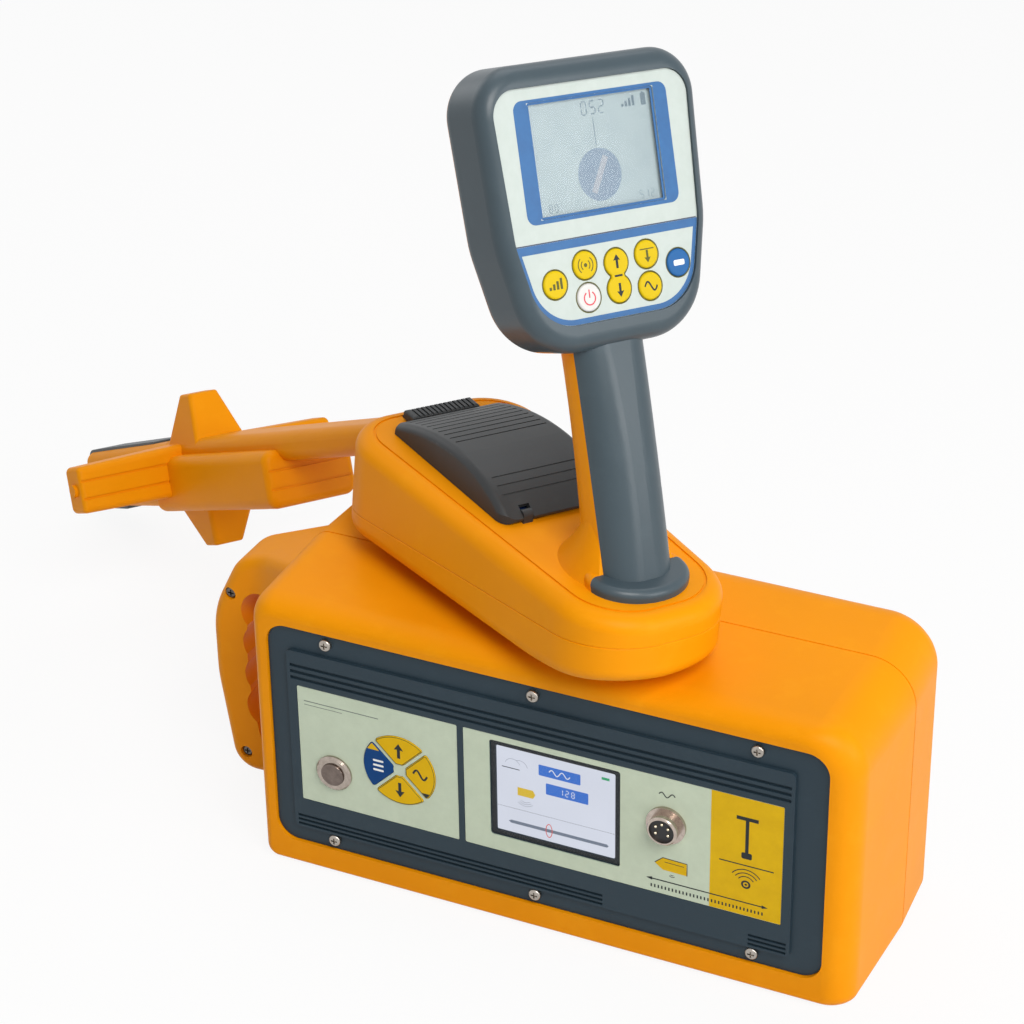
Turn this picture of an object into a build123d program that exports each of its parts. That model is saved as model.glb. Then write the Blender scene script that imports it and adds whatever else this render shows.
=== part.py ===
from build123d import *
import os
from math import asin, cos, radians, sin, tan

# Cable locator: a transmitter case with a carry handle, and the hand-held receiver lying on top of it.
# Millimetres. Origin at the centre of the case's underside, +X to the right along the front panel,
# -Y out of the front panel, +Z up.

# Transmitter case
CASE_L = 353.0
CASE_D = 136.0
CASE_H = 169.0
CASE_WALL = 3.0
CASE_TOP_RIGHT_R = 26.0
CASE_TOP_LEFT_R = 12.0
CASE_LOW_R = 7.0
CASE_END_LEAN = 3.0
BASE_TRIM = 1.0
FRONT_ROUND_DEPTH = 15.0
FRONT_ROUND_LEFT = 7.0
FRONT_ROUND_RIGHT = 15.0
FRONT_ROUND_TOP = 9.0
FRONT_ROUND_LOW = 4.0
BACK_ROUND_DEPTH = 16.0
BACK_ROUND_END = 16.0
BACK_ROUND_TOP = 10.0
BACK_ROUND_LOW = 4.0
ROUND_STEPS = 5
PARTING_Y = 12.0
PARTING_GROOVE = 0.5
SEAL_W = 1.0
SEAL_CLEAR = 0.05
POST_D = 10.0
CASE_POST_INSET = 20.0
CASE_SCREW_HOLD = 16.0

# Carry handle
HANDLE_REACH = 59.0
HANDLE_T = 36.0
HANDLE_GRIP_W = 23.0
HANDLE_EDGE_R = 7.0
HANDLE_FLARE = 20.0
HANDLE_SCREW_L = 20.0
HANDLE_SCREW_SINK = 1.2
SCALLOP_R = 14.0
SCALLOP_DEPTH = 2.2
SCALLOP_COUNT = 4
SCALLOP_PITCH = 21.0

# Front panel
LEFT_RIM = 14.5
RIGHT_RIM = 18.5
TOP_RIM = 12.9
LOW_RIM = 16.9
PANEL_CORNER_R = 12.0
PANEL_CLEAR = 0.4
PANEL_T = 4.0
PANEL_SET_BACK = 2.0
FIELD_LEFT = 11.5
FIELD_RIGHT = 17.5
FIELD_LOW = 10.1
FIELD_TOP = 14.1
GASKET_T = 1.0
LEDGE_T = 4.0
LEDGE_W = 14.0
GROOVE_DEPTH = 1.2
GROOVE_W = 2.0
GROOVE_COUNT = 3
TOP_GROOVE_PITCH = 3.9
LOW_GROOVE_PITCH = 2.8
BLANK_FROM = 123.0
BLANK_TO = 40.5
FIRST_TOP_GROOVE = 4.6
FIRST_LOW_GROOVE = 11.6

# Labels on the panel
LABEL_LEFT = 17.0
LABEL_RIGHT = 22.7
LABEL_LOW = 29.6
LABEL_TOP = 35.5
LABEL_RECESS = 0.8
LABEL_T = 0.6
LABEL_CLEAR = 0.15
BAR_FROM_LEFT = 96.0
BAR_W = 3.5

# Controls on the panel
POWER_X = 20.8
POWER_Z = 22.9
POWER_FLANGE_D = 21.4
POWER_BARREL_D = 18.8
POWER_BUTTON_D = 13.6
POWER_TRAVEL = 1.6
RUNNING_CLEAR = 0.08
HOLE_CLEAR = 0.2
KEYPAD_X = 60.9
KEYPAD_Z = 35.4
KEYPAD_R = 21.5
KEYPAD_GAP = 2.4
KEYPAD_HUB_R = 4.0
KEY_CORNER_R = 1.2
KEY_CLEAR = 0.3
KEY_FLANGE = 0.8
KEY_FLANGE_T = 1.2
KEY_REST_GAP = 0.05
KEY_PROUD = 0.5
KEY_TRAVEL = 0.6
DISPLAY_X = 15.5
DISPLAY_Z = 10.1
DISPLAY_W = 74.7
DISPLAY_H = 60.1
WINDOW_T = 1.5
WINDOW_LEDGE = 3.0
SOCKET_X = 64.2
SOCKET_Z = 45.0
SOCKET_D = 17.0
SOCKET_BORE_D = 14.0
SOCKET_REACH = 7.5
SOCKET_FLANGE_D = 22.0
SOCKET_BACK_D = 15.0
SOCKET_FLANGE_T = 1.8
INSERT_SINK = 1.6
PIN_PROUD = 1.2
PIN_COUNT = 5
PIN_D = 1.6
PIN_CIRCLE_D = 8.0
NUT_T = 4.0
POWER_NUT_W = 22.0
SOCKET_NUT_W = 19.0
NUT_ROOM = 1.0
SCREW_HEAD_D = 7.0
SCREW_D = 3.6
PANEL_SCREW_ENDS = (35.5, 38.4)
PANEL_SCREW_MIDDLE = 157.1
PANEL_SCREW_EDGE = 6.1
SCREW_HEAD_T = 2.6
SCREW_CLEAR = 0.05
BOARD_T = 1.6
BOARD_GAP = 16.0

# Inside the transmitter
BATTERY_FROM_END = 36.0
BATTERY_BOARD_GAP = 25.5
BATTERY_GAP_ABOVE = 76.0
OUTPUT_BOARD_L = 100.0
OUTPUT_BOARD_FROM_END = 31.5
OUTPUT_BOARD_LOW = 28.0
OUTPUT_BOARD_GAP_ABOVE = 49.0
OUTPUT_BOARD_SET_BACK = 18.0
BOARD_POST_D = 7.0
BOARD_POST_INSET = 7.0
AERIAL_SET_BACK = 26.0
AERIAL_DROP = 22.0
AERIAL_D = 12.0
AERIAL_L = 190.0
AERIAL_X = -20.0
AERIAL_COIL_D = 22.0
AERIAL_COIL_L = 80.0
HOLDER_SPREAD = 160.0
HOLDER_L = 10.0

# Receiver, in its own frame: X from the nose to the blade, Y to its left side, Z up
RX_NOSE_X = 71.2
RX_NOSE_SET_BACK = 1.7
RX_SEAT_GAP = 0.2
RX_TURN = 31.0
BELLY_ANGLE = 6.0
RX_L = 240.0
RX_NOSE_W = 94.0
RX_BACK_W = 117.0
RX_NOSE_R = 40.0
RX_BACK_R = 32.0
RX_WALL = 3.5
RX_SCREW_L = 26.0
RX_SCREW_SEAT = 10.5
DECK_NOSE_Z = 47.0
DECK_ANGLE = 4.2
DECK_EDGE_R = 9.0
BELLY_EDGE_R = 9.0
KEEL_R = 60.0
NOSE_RAMP_L = 68.0
NOSE_RISE = 11.0
RX_PARTING_Z = 32.0
RX_PARTING_ANGLE = 3.4
RX_PARTING_BEVEL = 0.5
DECK_GROOVE_INSET = 9.0
DECK_GROOVE_W = 1.6
DECK_GROOVE_DEPTH = 0.8

# Battery bay, cover and latch, measured along the deck from the nose
COVER_FROM = 105.5
COVER_L = 108.0
COVER_W = 70.0
COVER_RISE = 19.5
COVER_CORNER_R = 9.0
COVER_PEAK = 47.0
COVER_TAIL = 6.5
COVER_WALL = 2.6
COVER_EDGE_R = 4.0
COVER_GAP = 0.3
RIB_FRONT = (0.46, 0.12, 3)
RIB_BACK = (0.2, 0.09, 9)
RIB_W = 1.0
RIB_DEPTH = 0.4
HINGE_R = 3.2
HINGE_PIN_D = 2.5
HINGE_CLEAR = 0.05
EAR_W = 6.0
EAR_Y = 20.0
EAR_GAP = 0.3
EAR_ROOT = 2.0
EAR_CLEAR = 0.05
BAY_INSET = 10.0
BAY_DEPTH = 22.0
BAY_WALL = 2.0
BATTERY_CLEAR = 0.5
TONGUE_L = 16.0
TONGUE_W = 40.0
TONGUE_T = 2.4
LATCH_L = 10.0
LATCH_W = 43.0
LATCH_H = 5.0
LATCH_TRAVEL = 3.0
LATCH_STEM = 4.0
LATCH_RIBS = 13

# Grip and display head, in the stem frame: X to the left side, Y out of the face, Z up the stem
STEM_FOOT_X = 36.0
STEM_FOOT_DROP = 1.0
STEM_LEAN = 21.3
STEM_SPLIT = 2.0
GRIP_Y = -3.0
GRIP_FOOT_W = 44.0
GRIP_FOOT_T = 41.0
GRIP_W = 41.0
GRIP_T = 38.0
GRIP_TOP_W = 43.0
GRIP_TOP_T = 31.0
GRIP_R = 17.0
GRIP_TOP_R = 14.5
GRIP_FOOT_SHIFT = -6.0
GRIP_TOP_SHIFT = 0.0
GRIP_MID = 60.0
WIRE_D = 12.0
GRIP_SCREW_X = 12.5
GRIP_SCREW_L = 16.0
GRIP_SCREW_SEAT = -9.0
FOOT_W = 58.0
FOOT_L = 46.0
FOOT_T = 6.5
FLARE_W = 60.0
FLARE_L = 66.0
FLARE_SET_BACK = 16.0
FLARE_H = 46.0
HEAD_FOOT = 123.5
HEAD_H = 143.5
HEAD_TOP_W = 133.0
HEAD_MID_W = 126.0
HEAD_MID = 56.5
HEAD_FOOT_W = 100.0
HEAD_TOP_R = 24.0
HEAD_FOOT_R = 34.0
HEAD_FRONT = 17.0
HEAD_BACK = -20.0
HEAD_SPLIT = -15.0
HEAD_JOIN = 2.0
HEAD_FRONT_R = 9.0
HEAD_BACK_R = 8.0
HEAD_WALL = 3.0
HEAD_ROOM_INSET = 4.0
PLATE_RIM = 11.5
PLATE_FOOT_RIM = 14.0
PLATE_SIDE_RIM = 7.5
PLATE_T = 0.8
PLATE_SINK = 1.6
PLATE_CLEAR = 0.15
SCREEN_W = 76.0
SCREEN_H = 57.0
SCREEN_FROM_TOP = 47.5
PANE_T = 1.4
PANE_LAP = 2.0
RX_BOARD_POST_GAP = 12.0
RX_BOARD_POST_D = 6.0
RX_KEY_D = 14.0
RX_KEY_GAP_ACROSS = 4.8
RX_KEY_GAP_UP = 2.0
RX_KEY_SHIFT = -2.5
RX_KEY_MID = 34.5
RX_KEY_END_RISE = 1.0
RX_KEY_PROUD = 0.9
RX_KEY_TRAVEL = 0.7
ROCKER_WAIST = 8.0
ROCKER_SPREAD = 13.0
ROCKER_CLEAR = 0.45
PIVOT_D = 1.6
PIVOT_L = 15.0
PIVOT_DROP = 0.2
PIVOT_CLEAR = 0.05

# Blade, in its own frame: X along the blade from the body's back, Y to the left side, Z across its top
BLADE_Z = 33.0
BLADE_ANGLE = 24.8
BLADE_L = 408.0
SPINE_W = 42.0
SPINE_T = 18.0
SPINE_TOP = 20.5
ROOT_DEPTH = 14.0
ROOT_CLEAR = 0.1
BLOCK_FROM = 128.0
BLOCK_L = 156.0
BLOCK_W = 60.0
BLOCK_T = 35.0
BLOCK_TOP = 9.0
TIP_W = 34.0
TIP_T = 38.0
TIP_TOP = 13.0
ARM_X = 270.0
ARM_SPAN = 180.0
ARM_T = 33.0
ARM_L = 25.0
ARM_TOP = 16.0
WING_X = 257.0
WING_REACH = 25.0
WING_BASE_L = 44.0
WING_BASE_W = 36.0
WING_TIP_L = 15.0
WING_TIP_W = 20.0
BLADE_SPLIT = -4.0
BLADE_GROOVE = 1.0
BLADE_GROOVE_RISE = 11.0
GUARD_W = 24.0
GUARD_T = 5.0
GUARD_TOP_L = 100.0
GUARD_LOW_L = 44.0
ROD_D = 9.0
WINDING_D = 15.0
ROD_CLEAR = 0.3

# Edges, centres and holes that follow from the sizes above
SCREW_HOLE_D = SCREW_D + 2 * SCREW_CLEAR
PASS_HOLE_D = SCREW_D + 2 * HOLE_CLEAR
HEAD_HOLE_D = SCREW_HEAD_D + 2 * HOLE_CLEAR
CASE_FRONT = -CASE_D / 2
CASE_BACK = CASE_D / 2
CASE_MID_Z = CASE_H / 2
PANEL_FRONT = CASE_FRONT + PANEL_SET_BACK
PANEL_BACK = PANEL_FRONT + PANEL_T
LEDGE_FRONT = PANEL_BACK + GASKET_T
LEDGE_BACK = LEDGE_FRONT + LEDGE_T
PANEL_X0 = -CASE_L / 2 + LEFT_RIM
PANEL_X1 = CASE_L / 2 - RIGHT_RIM
PANEL_Z0 = LOW_RIM
PANEL_Z1 = CASE_H - TOP_RIM
LABEL_X0 = PANEL_X0 + LABEL_LEFT
LABEL_X1 = PANEL_X1 - LABEL_RIGHT
LABEL_Z0 = PANEL_Z0 + LABEL_LOW
LABEL_Z1 = PANEL_Z1 - LABEL_TOP
BAR_X0 = LABEL_X0 + BAR_FROM_LEFT
BAR_X1 = BAR_X0 + BAR_W
LABEL_BACK = CASE_FRONT + LABEL_RECESS
LABEL_FRONT = LABEL_BACK - LABEL_T
COVER_TO = COVER_FROM + COVER_L
HINGE_X = COVER_FROM + HINGE_R
HINGE_Z = COVER_GAP + HINGE_R
HEAD_TOP = HEAD_FOOT + HEAD_H
PLATE_FRONT = HEAD_FRONT - PLATE_SINK
PLATE_BACK = PLATE_FRONT - PLATE_T
PLATE_LOW = HEAD_FOOT + PLATE_FOOT_RIM
PLATE_HIGH = HEAD_TOP - PLATE_RIM
SCREEN_Z = HEAD_TOP - SCREEN_FROM_TOP
FACE_WALL_BACK = PLATE_BACK - HEAD_WALL
RX_BOARD_FRONT = FACE_WALL_BACK - KEY_FLANGE_T - RX_KEY_TRAVEL - 0.7
PIVOT_Y = FACE_WALL_BACK - PIVOT_DROP - PIVOT_D / 2
BLOCK_LOW = BLOCK_TOP - BLOCK_T
BLOCK_END = BLOCK_FROM + BLOCK_L

# Frames of the receiver, its deck, its stem and its blade
turn = radians(RX_TURN)
roll = radians(BELLY_ANGLE)
rx_frame = Plane(
    origin=(RX_NOSE_X, CASE_FRONT + RX_NOSE_SET_BACK, CASE_H + RX_SEAT_GAP),
    x_dir=(-cos(turn), sin(turn), 0),
    z_dir=(sin(roll) * sin(turn), sin(roll) * cos(turn), cos(roll)),
)
deck_tilt = radians(DECK_ANGLE)
deck_frame = Plane(
    origin=(0, 0, DECK_NOSE_Z),
    x_dir=(cos(deck_tilt), 0, sin(deck_tilt)),
    z_dir=(-sin(deck_tilt), 0, cos(deck_tilt)),
)
lean = radians(STEM_LEAN)
stem_frame = Plane(
    origin=(STEM_FOOT_X, 0, DECK_NOSE_Z - STEM_FOOT_DROP),
    x_dir=(0, 1, 0),
    z_dir=(sin(lean), 0, cos(lean)),
)
dip = radians(BLADE_ANGLE)
blade_frame = Plane(
    origin=(RX_L, 0, BLADE_Z),
    x_dir=(cos(dip), 0, -sin(dip)),
    z_dir=(sin(dip), 0, cos(dip)),
)


def slab(sketch, y_low, y_high):
    """Plate between two depths, from an outline drawn in X and Z."""
    plane = Plane(origin=(0, y_high, 0), x_dir=(1, 0, 0), z_dir=(0, -1, 0))
    return extrude(plane * sketch, amount=y_high - y_low)


def span(x0, x1, z0, z1, radius=0.0):
    """Rectangle between two corners, with rounded corners where a radius is given."""
    shape = RectangleRounded(x1 - x0, z1 - z0, radius) if radius else Rectangle(x1 - x0, z1 - z0)
    return Pos((x0 + x1) / 2, (z0 + z1) / 2) * shape


def rounded_polygon(*corners):
    """Outline with straight sides; each corner is x, z and its radius."""
    outline = make_face(Polyline(*[(x, z) for x, z, _ in corners], close=True))
    for x, z, radius in corners:
        if radius:
            corner = outline.vertices().sort_by_distance((x, z, 0))[0]
            outline = fillet(corner, radius)
    return outline


def rod_y(x, z, diameter, y_low, y_high):
    """Round bar along Y."""
    return slab(Pos(x, z) * Circle(diameter / 2), y_low, y_high)


def section_x(x, width, top, thickness, radius):
    """Rounded cross-section of the blade at one place along it."""
    plane = Plane(origin=(x, 0, top - thickness / 2), x_dir=(0, 1, 0), z_dir=(1, 0, 0))
    return plane * RectangleRounded(width, thickness, radius)


def block(x0, x1, y0, y1, z0, z1):
    """Box between two corners."""
    box = Box(x1 - x0, y1 - y0, z1 - z0)
    return Pos((x0 + x1) / 2, (y0 + y1) / 2, (z0 + z1) / 2) * box


def rod_z(x, y, diameter, z_low, z_high):
    """Round bar along Z."""
    return extrude(Pos(x, y, z_low) * Circle(diameter / 2), amount=z_high - z_low)


def rod_x(y, z, diameter, x_low, x_high):
    """Round bar along X."""
    plane = Plane(origin=(x_low, y, z), x_dir=(0, 1, 0), z_dir=(1, 0, 0))
    return extrude(plane * Circle(diameter / 2), amount=x_high - x_low)


def screw(length):
    """Pan-head cross-recess screw, head up, with the head's seat at the origin."""
    head = rod_z(0, 0, SCREW_HEAD_D, 0, SCREW_HEAD_T)
    head = fillet(head.edges().group_by(Axis.Z)[-1], 1.3)
    for turned in (0, 90):
        head -= Rot(0, 0, turned) * block(-1.9, 1.9, -0.45, 0.45, SCREW_HEAD_T - 1.3, SCREW_HEAD_T + 1)
    return head + rod_z(0, 0, SCREW_D, -length, 0)


def facing(x, y, z, direction):
    """Frame at a point with its Z along the given direction."""
    return Plane(origin=(x, y, z), z_dir=direction)


def hex_nut(x, z, across, bore, y_low, y_high):
    """Hexagon nut along Y."""
    shape = RegularPolygon(across / 2, 6, major_radius=False) - Circle(bore / 2)
    return slab(Pos(x, z) * shape, y_low, y_high)


# Transmitter case shells: front and rear halves lofted from the parting plane, with posts for the screws

def case_section(y, inset, left=0.0, right=0.0, top=0.0, low=0.0):
    """Outline of the case at one depth, drawn in on each side by its own amount."""
    reach = CASE_FRONT if y < PARTING_Y else CASE_BACK
    lean = CASE_END_LEAN * (y - PARTING_Y) / (reach - PARTING_Y)
    x0 = -CASE_L / 2 + lean + inset + left
    x1 = CASE_L / 2 - lean - inset - right
    z0 = inset + low
    z1 = CASE_H - inset - top
    low_r = CASE_LOW_R - inset - max(low, 0) / 2
    left_r = CASE_TOP_LEFT_R - inset - min(left, top) / 2
    right_r = CASE_TOP_RIGHT_R - inset - min(right, top) / 2
    outline = rounded_polygon((x0, z0, low_r), (x1, z0, low_r), (x1, z1, right_r), (x0, z1, left_r))
    return Plane(origin=(0, y, 0), x_dir=(1, 0, 0), z_dir=(0, -1, 0)) * outline


def case_form(y_end, inset, depth, left, right, top, low):
    """Half of the case from the parting plane, with its far edges rounded; with an inset, the room inside."""
    drop = 0 if inset else BASE_TRIM
    inward = depth if y_end < PARTING_Y else -depth
    straight = [case_section(PARTING_Y, inset, low=-drop), case_section(y_end + inward, inset, low=-drop)]
    form = loft(straight, ruled=True)
    rounded = []
    for i in range(ROUND_STEPS + 1):
        angle = radians(90 * i / ROUND_STEPS)
        drawn = 1 - cos(angle)
        y = y_end + inward * (1 - sin(angle))
        lift = (low + drop) * drawn - drop
        rounded.append(case_section(y, inset, left * drawn, right * drawn, top * drawn, lift))
    form += loft(rounded)
    return form if inset else split(form, Plane.XY, keep=Keep.TOP)


def seal_ring(grow):
    ring = case_section(PARTING_Y, SEAL_W - grow) - case_section(PARTING_Y, 2 * SEAL_W + grow)
    return extrude(ring, amount=SEAL_W + grow)


def parting_groove():
    """Ring that sinks the shells' outer edges where they meet."""
    ring = case_section(PARTING_Y, -4 * PARTING_GROOVE) - case_section(PARTING_Y, PARTING_GROOVE)
    return extrude(ring, amount=PARTING_GROOVE, both=True)


front_round = (FRONT_ROUND_DEPTH, FRONT_ROUND_LEFT, FRONT_ROUND_RIGHT, FRONT_ROUND_TOP, FRONT_ROUND_LOW)
front_form = case_form(CASE_FRONT, 0, *front_round)
back_round = (BACK_ROUND_DEPTH, BACK_ROUND_END, BACK_ROUND_END, BACK_ROUND_TOP, BACK_ROUND_LOW)
rear_form = case_form(CASE_BACK, 0, *back_round)
rear_room = case_form(
    CASE_BACK - CASE_WALL,
    CASE_WALL,
    BACK_ROUND_DEPTH - CASE_WALL,
    BACK_ROUND_END - CASE_WALL,
    BACK_ROUND_END - CASE_WALL,
    BACK_ROUND_TOP - CASE_WALL,
    BACK_ROUND_LOW,
)
front_room = loft([case_section(PARTING_Y, CASE_WALL), case_section(LEDGE_BACK, CASE_WALL)], ruled=True)

post_x = CASE_L / 2 - CASE_POST_INSET
post_z = CASE_MID_Z - CASE_POST_INSET
case_posts = [(sx * post_x, CASE_MID_Z + sz * post_z) for sx in (-1, 1) for sz in (-1, 1)]
panel_outline = span(PANEL_X0, PANEL_X1, PANEL_Z0, PANEL_Z1, PANEL_CORNER_R)
ledge_window = offset(panel_outline, -LEDGE_W, kind=Kind.INTERSECTION)
screw_x0 = PANEL_X0 + PANEL_SCREW_ENDS[0]
screw_x1 = PANEL_X1 - PANEL_SCREW_ENDS[1]
screw_columns = (screw_x0, PANEL_X0 + PANEL_SCREW_MIDDLE, screw_x1)
screw_rows = (PANEL_Z0 + PANEL_SCREW_EDGE, PANEL_Z1 - PANEL_SCREW_EDGE)
panel_screw_places = [(x, z) for x in screw_columns for z in screw_rows]

case_seal = seal_ring(0)
front_case = front_form - front_room - parting_groove()
front_case -= slab(offset(panel_outline, PANEL_CLEAR), CASE_FRONT - 1, LEDGE_FRONT)
front_case -= slab(ledge_window, LEDGE_FRONT - 1, LEDGE_BACK + 1)
for x, z in case_posts:
    front_case += rod_y(x, z, POST_D, LEDGE_BACK - 1, PARTING_Y)
for x, z in case_posts:
    front_case -= rod_y(x, z, SCREW_HOLE_D, PARTING_Y - CASE_SCREW_HOLD - 4, PARTING_Y)
for x, z in panel_screw_places:
    front_case -= rod_y(x, z, SCREW_HOLE_D, LEDGE_FRONT - 1, LEDGE_BACK + 1)
front_case -= seal_ring(SEAL_CLEAR)

case_screw_seat = CASE_BACK - CASE_WALL
rear_case = rear_form - rear_room - parting_groove()
for x, z in case_posts:
    rear_case += rod_y(x, z, POST_D, PARTING_Y, case_screw_seat + 1)
for x, z in case_posts:
    rear_case -= rod_y(x, z, PASS_HOLE_D, PARTING_Y - 1, CASE_BACK + 1)
    rear_case -= rod_y(x, z, HEAD_HOLE_D, case_screw_seat, CASE_BACK + 1)
case_screw_l = case_screw_seat - PARTING_Y + CASE_SCREW_HOLD
case_screws = Part() + [
    facing(x, case_screw_seat, z, (0, 1, 0)) * screw(case_screw_l) for x, z in case_posts
]


# Carry handle: a D at the left end, in two halves that meet at the parting plane

handle_x = -CASE_L / 2 - HANDLE_REACH
grip_x = handle_x + HANDLE_GRIP_W
case_x = -CASE_L / 2 + CASE_WALL + CASE_END_LEAN
handle_outline = rounded_polygon(
    (case_x, 6, 0),
    (handle_x + 9, 5, 16),
    (handle_x, CASE_MID_Z - 16, 90),
    (handle_x, CASE_MID_Z + 26, 60),
    (handle_x + 18, CASE_H - 22, 26),
    (case_x, CASE_H - 3, 0),
)
finger_room = rounded_polygon(
    (case_x + 5, 24, 0),
    (grip_x + 6, 25, 12),
    (grip_x, CASE_MID_Z - 16, 60),
    (grip_x, CASE_MID_Z + 22, 40),
    (grip_x + 8, CASE_H - 48, 12),
    (case_x + 5, CASE_H - 40, 0),
)
for i in range(SCALLOP_COUNT):
    z = CASE_MID_Z + (i - (SCALLOP_COUNT - 1) / 2) * SCALLOP_PITCH
    finger_room += Pos(grip_x + SCALLOP_R - SCALLOP_DEPTH, z) * Circle(SCALLOP_R)
handle_front_y = PARTING_Y - HANDLE_T / 2
handle_back_y = PARTING_Y + HANDLE_T / 2
handle_plan = rounded_polygon(
    (case_x, handle_front_y - HANDLE_FLARE, 0),
    (grip_x + 12, handle_front_y, 30),
    (handle_x - 1, handle_front_y, 0),
    (handle_x - 1, handle_back_y, 0),
    (case_x, handle_back_y, 0),
)
handle_form = slab(handle_outline, handle_front_y - HANDLE_FLARE - 1, handle_back_y + 1)
handle_form &= extrude(handle_plan, amount=CASE_H)
handle_rims = handle_form.edges().filter_by(Axis.Y, reverse=True).filter_by(Axis.Z, reverse=True)
handle_form = fillet(handle_rims, HANDLE_EDGE_R)
handle_form -= slab(finger_room, PARTING_Y - HANDLE_T, PARTING_Y + HANDLE_T)
handle_form -= front_form
handle_form -= rear_form
handle_parting = Plane(origin=(0, PARTING_Y, 0), x_dir=(1, 0, 0), z_dir=(0, 1, 0))
carry_handle_front = split(handle_form, handle_parting, keep=Keep.BOTTOM)
carry_handle_rear = split(handle_form, handle_parting, keep=Keep.TOP)
handle_screw_places = [(handle_x + 14, CASE_H - 44), (handle_x + 18, 19)]
handle_screw_seat = handle_front_y + HANDLE_SCREW_SINK + SCREW_HEAD_T
for x, z in handle_screw_places:
    carry_handle_front -= rod_y(x, z, HEAD_HOLE_D, handle_front_y - 1, handle_screw_seat)
    carry_handle_front -= rod_y(x, z, PASS_HOLE_D, handle_front_y, PARTING_Y + 1)
    carry_handle_rear -= rod_y(x, z, SCREW_HOLE_D, PARTING_Y - 1, handle_screw_seat + HANDLE_SCREW_L + 1)
handle_screws = Part() + [
    facing(x, handle_screw_seat, z, (0, -1, 0)) * screw(HANDLE_SCREW_L) for x, z in handle_screw_places
]


# Front panel with its raised field, grooves, openings and board posts, its gasket and its screws

field_x0 = PANEL_X0 + FIELD_LEFT
field_x1 = PANEL_X1 - FIELD_RIGHT
field = span(field_x0, field_x1, PANEL_Z0 + FIELD_LOW, PANEL_Z1 - FIELD_TOP, 3)
label_left_outline = span(LABEL_X0, BAR_X0, LABEL_Z0, LABEL_Z1, 1)
label_right_outline = span(BAR_X1, LABEL_X1, LABEL_Z0, LABEL_Z1, 1)
power_at = (LABEL_X0 + POWER_X, LABEL_Z0 + POWER_Z)
keypad_at = (LABEL_X0 + KEYPAD_X, LABEL_Z0 + KEYPAD_Z)
socket_at = (LABEL_X1 - SOCKET_X, LABEL_Z0 + SOCKET_Z)
display_x0 = BAR_X1 + DISPLAY_X
display_z0 = LABEL_Z0 + DISPLAY_Z
display_x1 = display_x0 + DISPLAY_W
display_z1 = display_z0 + DISPLAY_H
window_outline = span(display_x0, display_x1, display_z0, display_z1, 1.5)
view_x0 = display_x0 + WINDOW_LEDGE
view_x1 = display_x1 - WINDOW_LEDGE
view_outline = span(view_x0, view_x1, display_z0 + WINDOW_LEDGE, display_z1 - WINDOW_LEDGE, 1)
window_front = LABEL_FRONT - 0.3
window_back = window_front + WINDOW_T

key_ring = Circle(KEYPAD_R) - Circle(KEYPAD_HUB_R)
for turned in (45, -45):
    key_ring -= Rot(0, 0, turned) * Rectangle(3 * KEYPAD_R, KEYPAD_GAP)
key_sectors = {
    "up_key": key_ring.faces().sort_by(Axis.Y)[-1],
    "down_key": key_ring.faces().sort_by(Axis.Y)[0],
    "frequency_key": key_ring.faces().sort_by(Axis.X)[-1],
    "info_key": key_ring.faces().sort_by(Axis.X)[0],
}
key_outlines = {}
for name, sector in key_sectors.items():
    key_outlines[name] = Pos(*keypad_at) * fillet((Sketch() + sector).vertices(), KEY_CORNER_R)

main_board_x0 = power_at[0] + POWER_BARREL_D / 2 + 5
main_board_x1 = socket_at[0] - SOCKET_BACK_D / 2 - 7
main_board_z0 = LABEL_Z0 - 6
main_board_z1 = LABEL_Z1 + 13
main_board_front = PANEL_BACK + BOARD_GAP
main_board_columns = (main_board_x0 + 6, main_board_x1 - 6)
main_board_rows = (main_board_z0 + 5, main_board_z1 - 5)
main_board_posts = [(x, z) for x in main_board_columns for z in main_board_rows]
key_board_front = PANEL_BACK + KEY_REST_GAP + KEY_FLANGE_T + KEY_TRAVEL + 0.3
key_board_r = KEYPAD_R + 5.5
key_post_r = KEYPAD_R + 3.2

front_panel = slab(panel_outline, PANEL_FRONT, PANEL_BACK)
front_panel += slab(field, CASE_FRONT, PANEL_FRONT)
front_panel -= slab(label_left_outline, CASE_FRONT - 1, LABEL_BACK)
front_panel -= slab(label_right_outline, CASE_FRONT - 1, LABEL_BACK)
for i in range(GROOVE_COUNT):
    top_z = LABEL_Z1 + FIRST_TOP_GROOVE + i * TOP_GROOVE_PITCH
    low_z = LABEL_Z0 - FIRST_LOW_GROOVE - i * LOW_GROOVE_PITCH
    groove = span(field_x0 + 2, field_x1 - 2, top_z - GROOVE_W / 2, top_z + GROOVE_W / 2)
    low_half = GROOVE_W * 0.4
    groove += span(field_x0 + 2, PANEL_X1 - BLANK_FROM, low_z - low_half, low_z + low_half)
    groove += span(PANEL_X1 - BLANK_TO, field_x1 - 2, low_z - low_half, low_z + low_half)
    front_panel -= slab(groove, CASE_FRONT - 1, CASE_FRONT + GROOVE_DEPTH)
front_panel -= rod_y(*power_at, POWER_BARREL_D + 2 * HOLE_CLEAR, CASE_FRONT - 1, PANEL_BACK + 1)
front_panel -= rod_y(*socket_at, SOCKET_BACK_D + 2 * HOLE_CLEAR, CASE_FRONT - 1, PANEL_BACK + 1)
front_panel -= slab(offset(window_outline, HOLE_CLEAR), CASE_FRONT - 1, window_back)
front_panel -= slab(view_outline, CASE_FRONT - 1, PANEL_BACK + 1)
for outline in key_outlines.values():
    front_panel -= slab(offset(outline, KEY_CLEAR), CASE_FRONT - 1, PANEL_BACK + 1)
for x, z in panel_screw_places:
    front_panel -= rod_y(x, z, PASS_HOLE_D, PANEL_FRONT - 1, PANEL_BACK + 1)
for x, z in main_board_posts:
    front_panel += rod_y(x, z, BOARD_POST_D, PANEL_BACK - 1, main_board_front)
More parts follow.
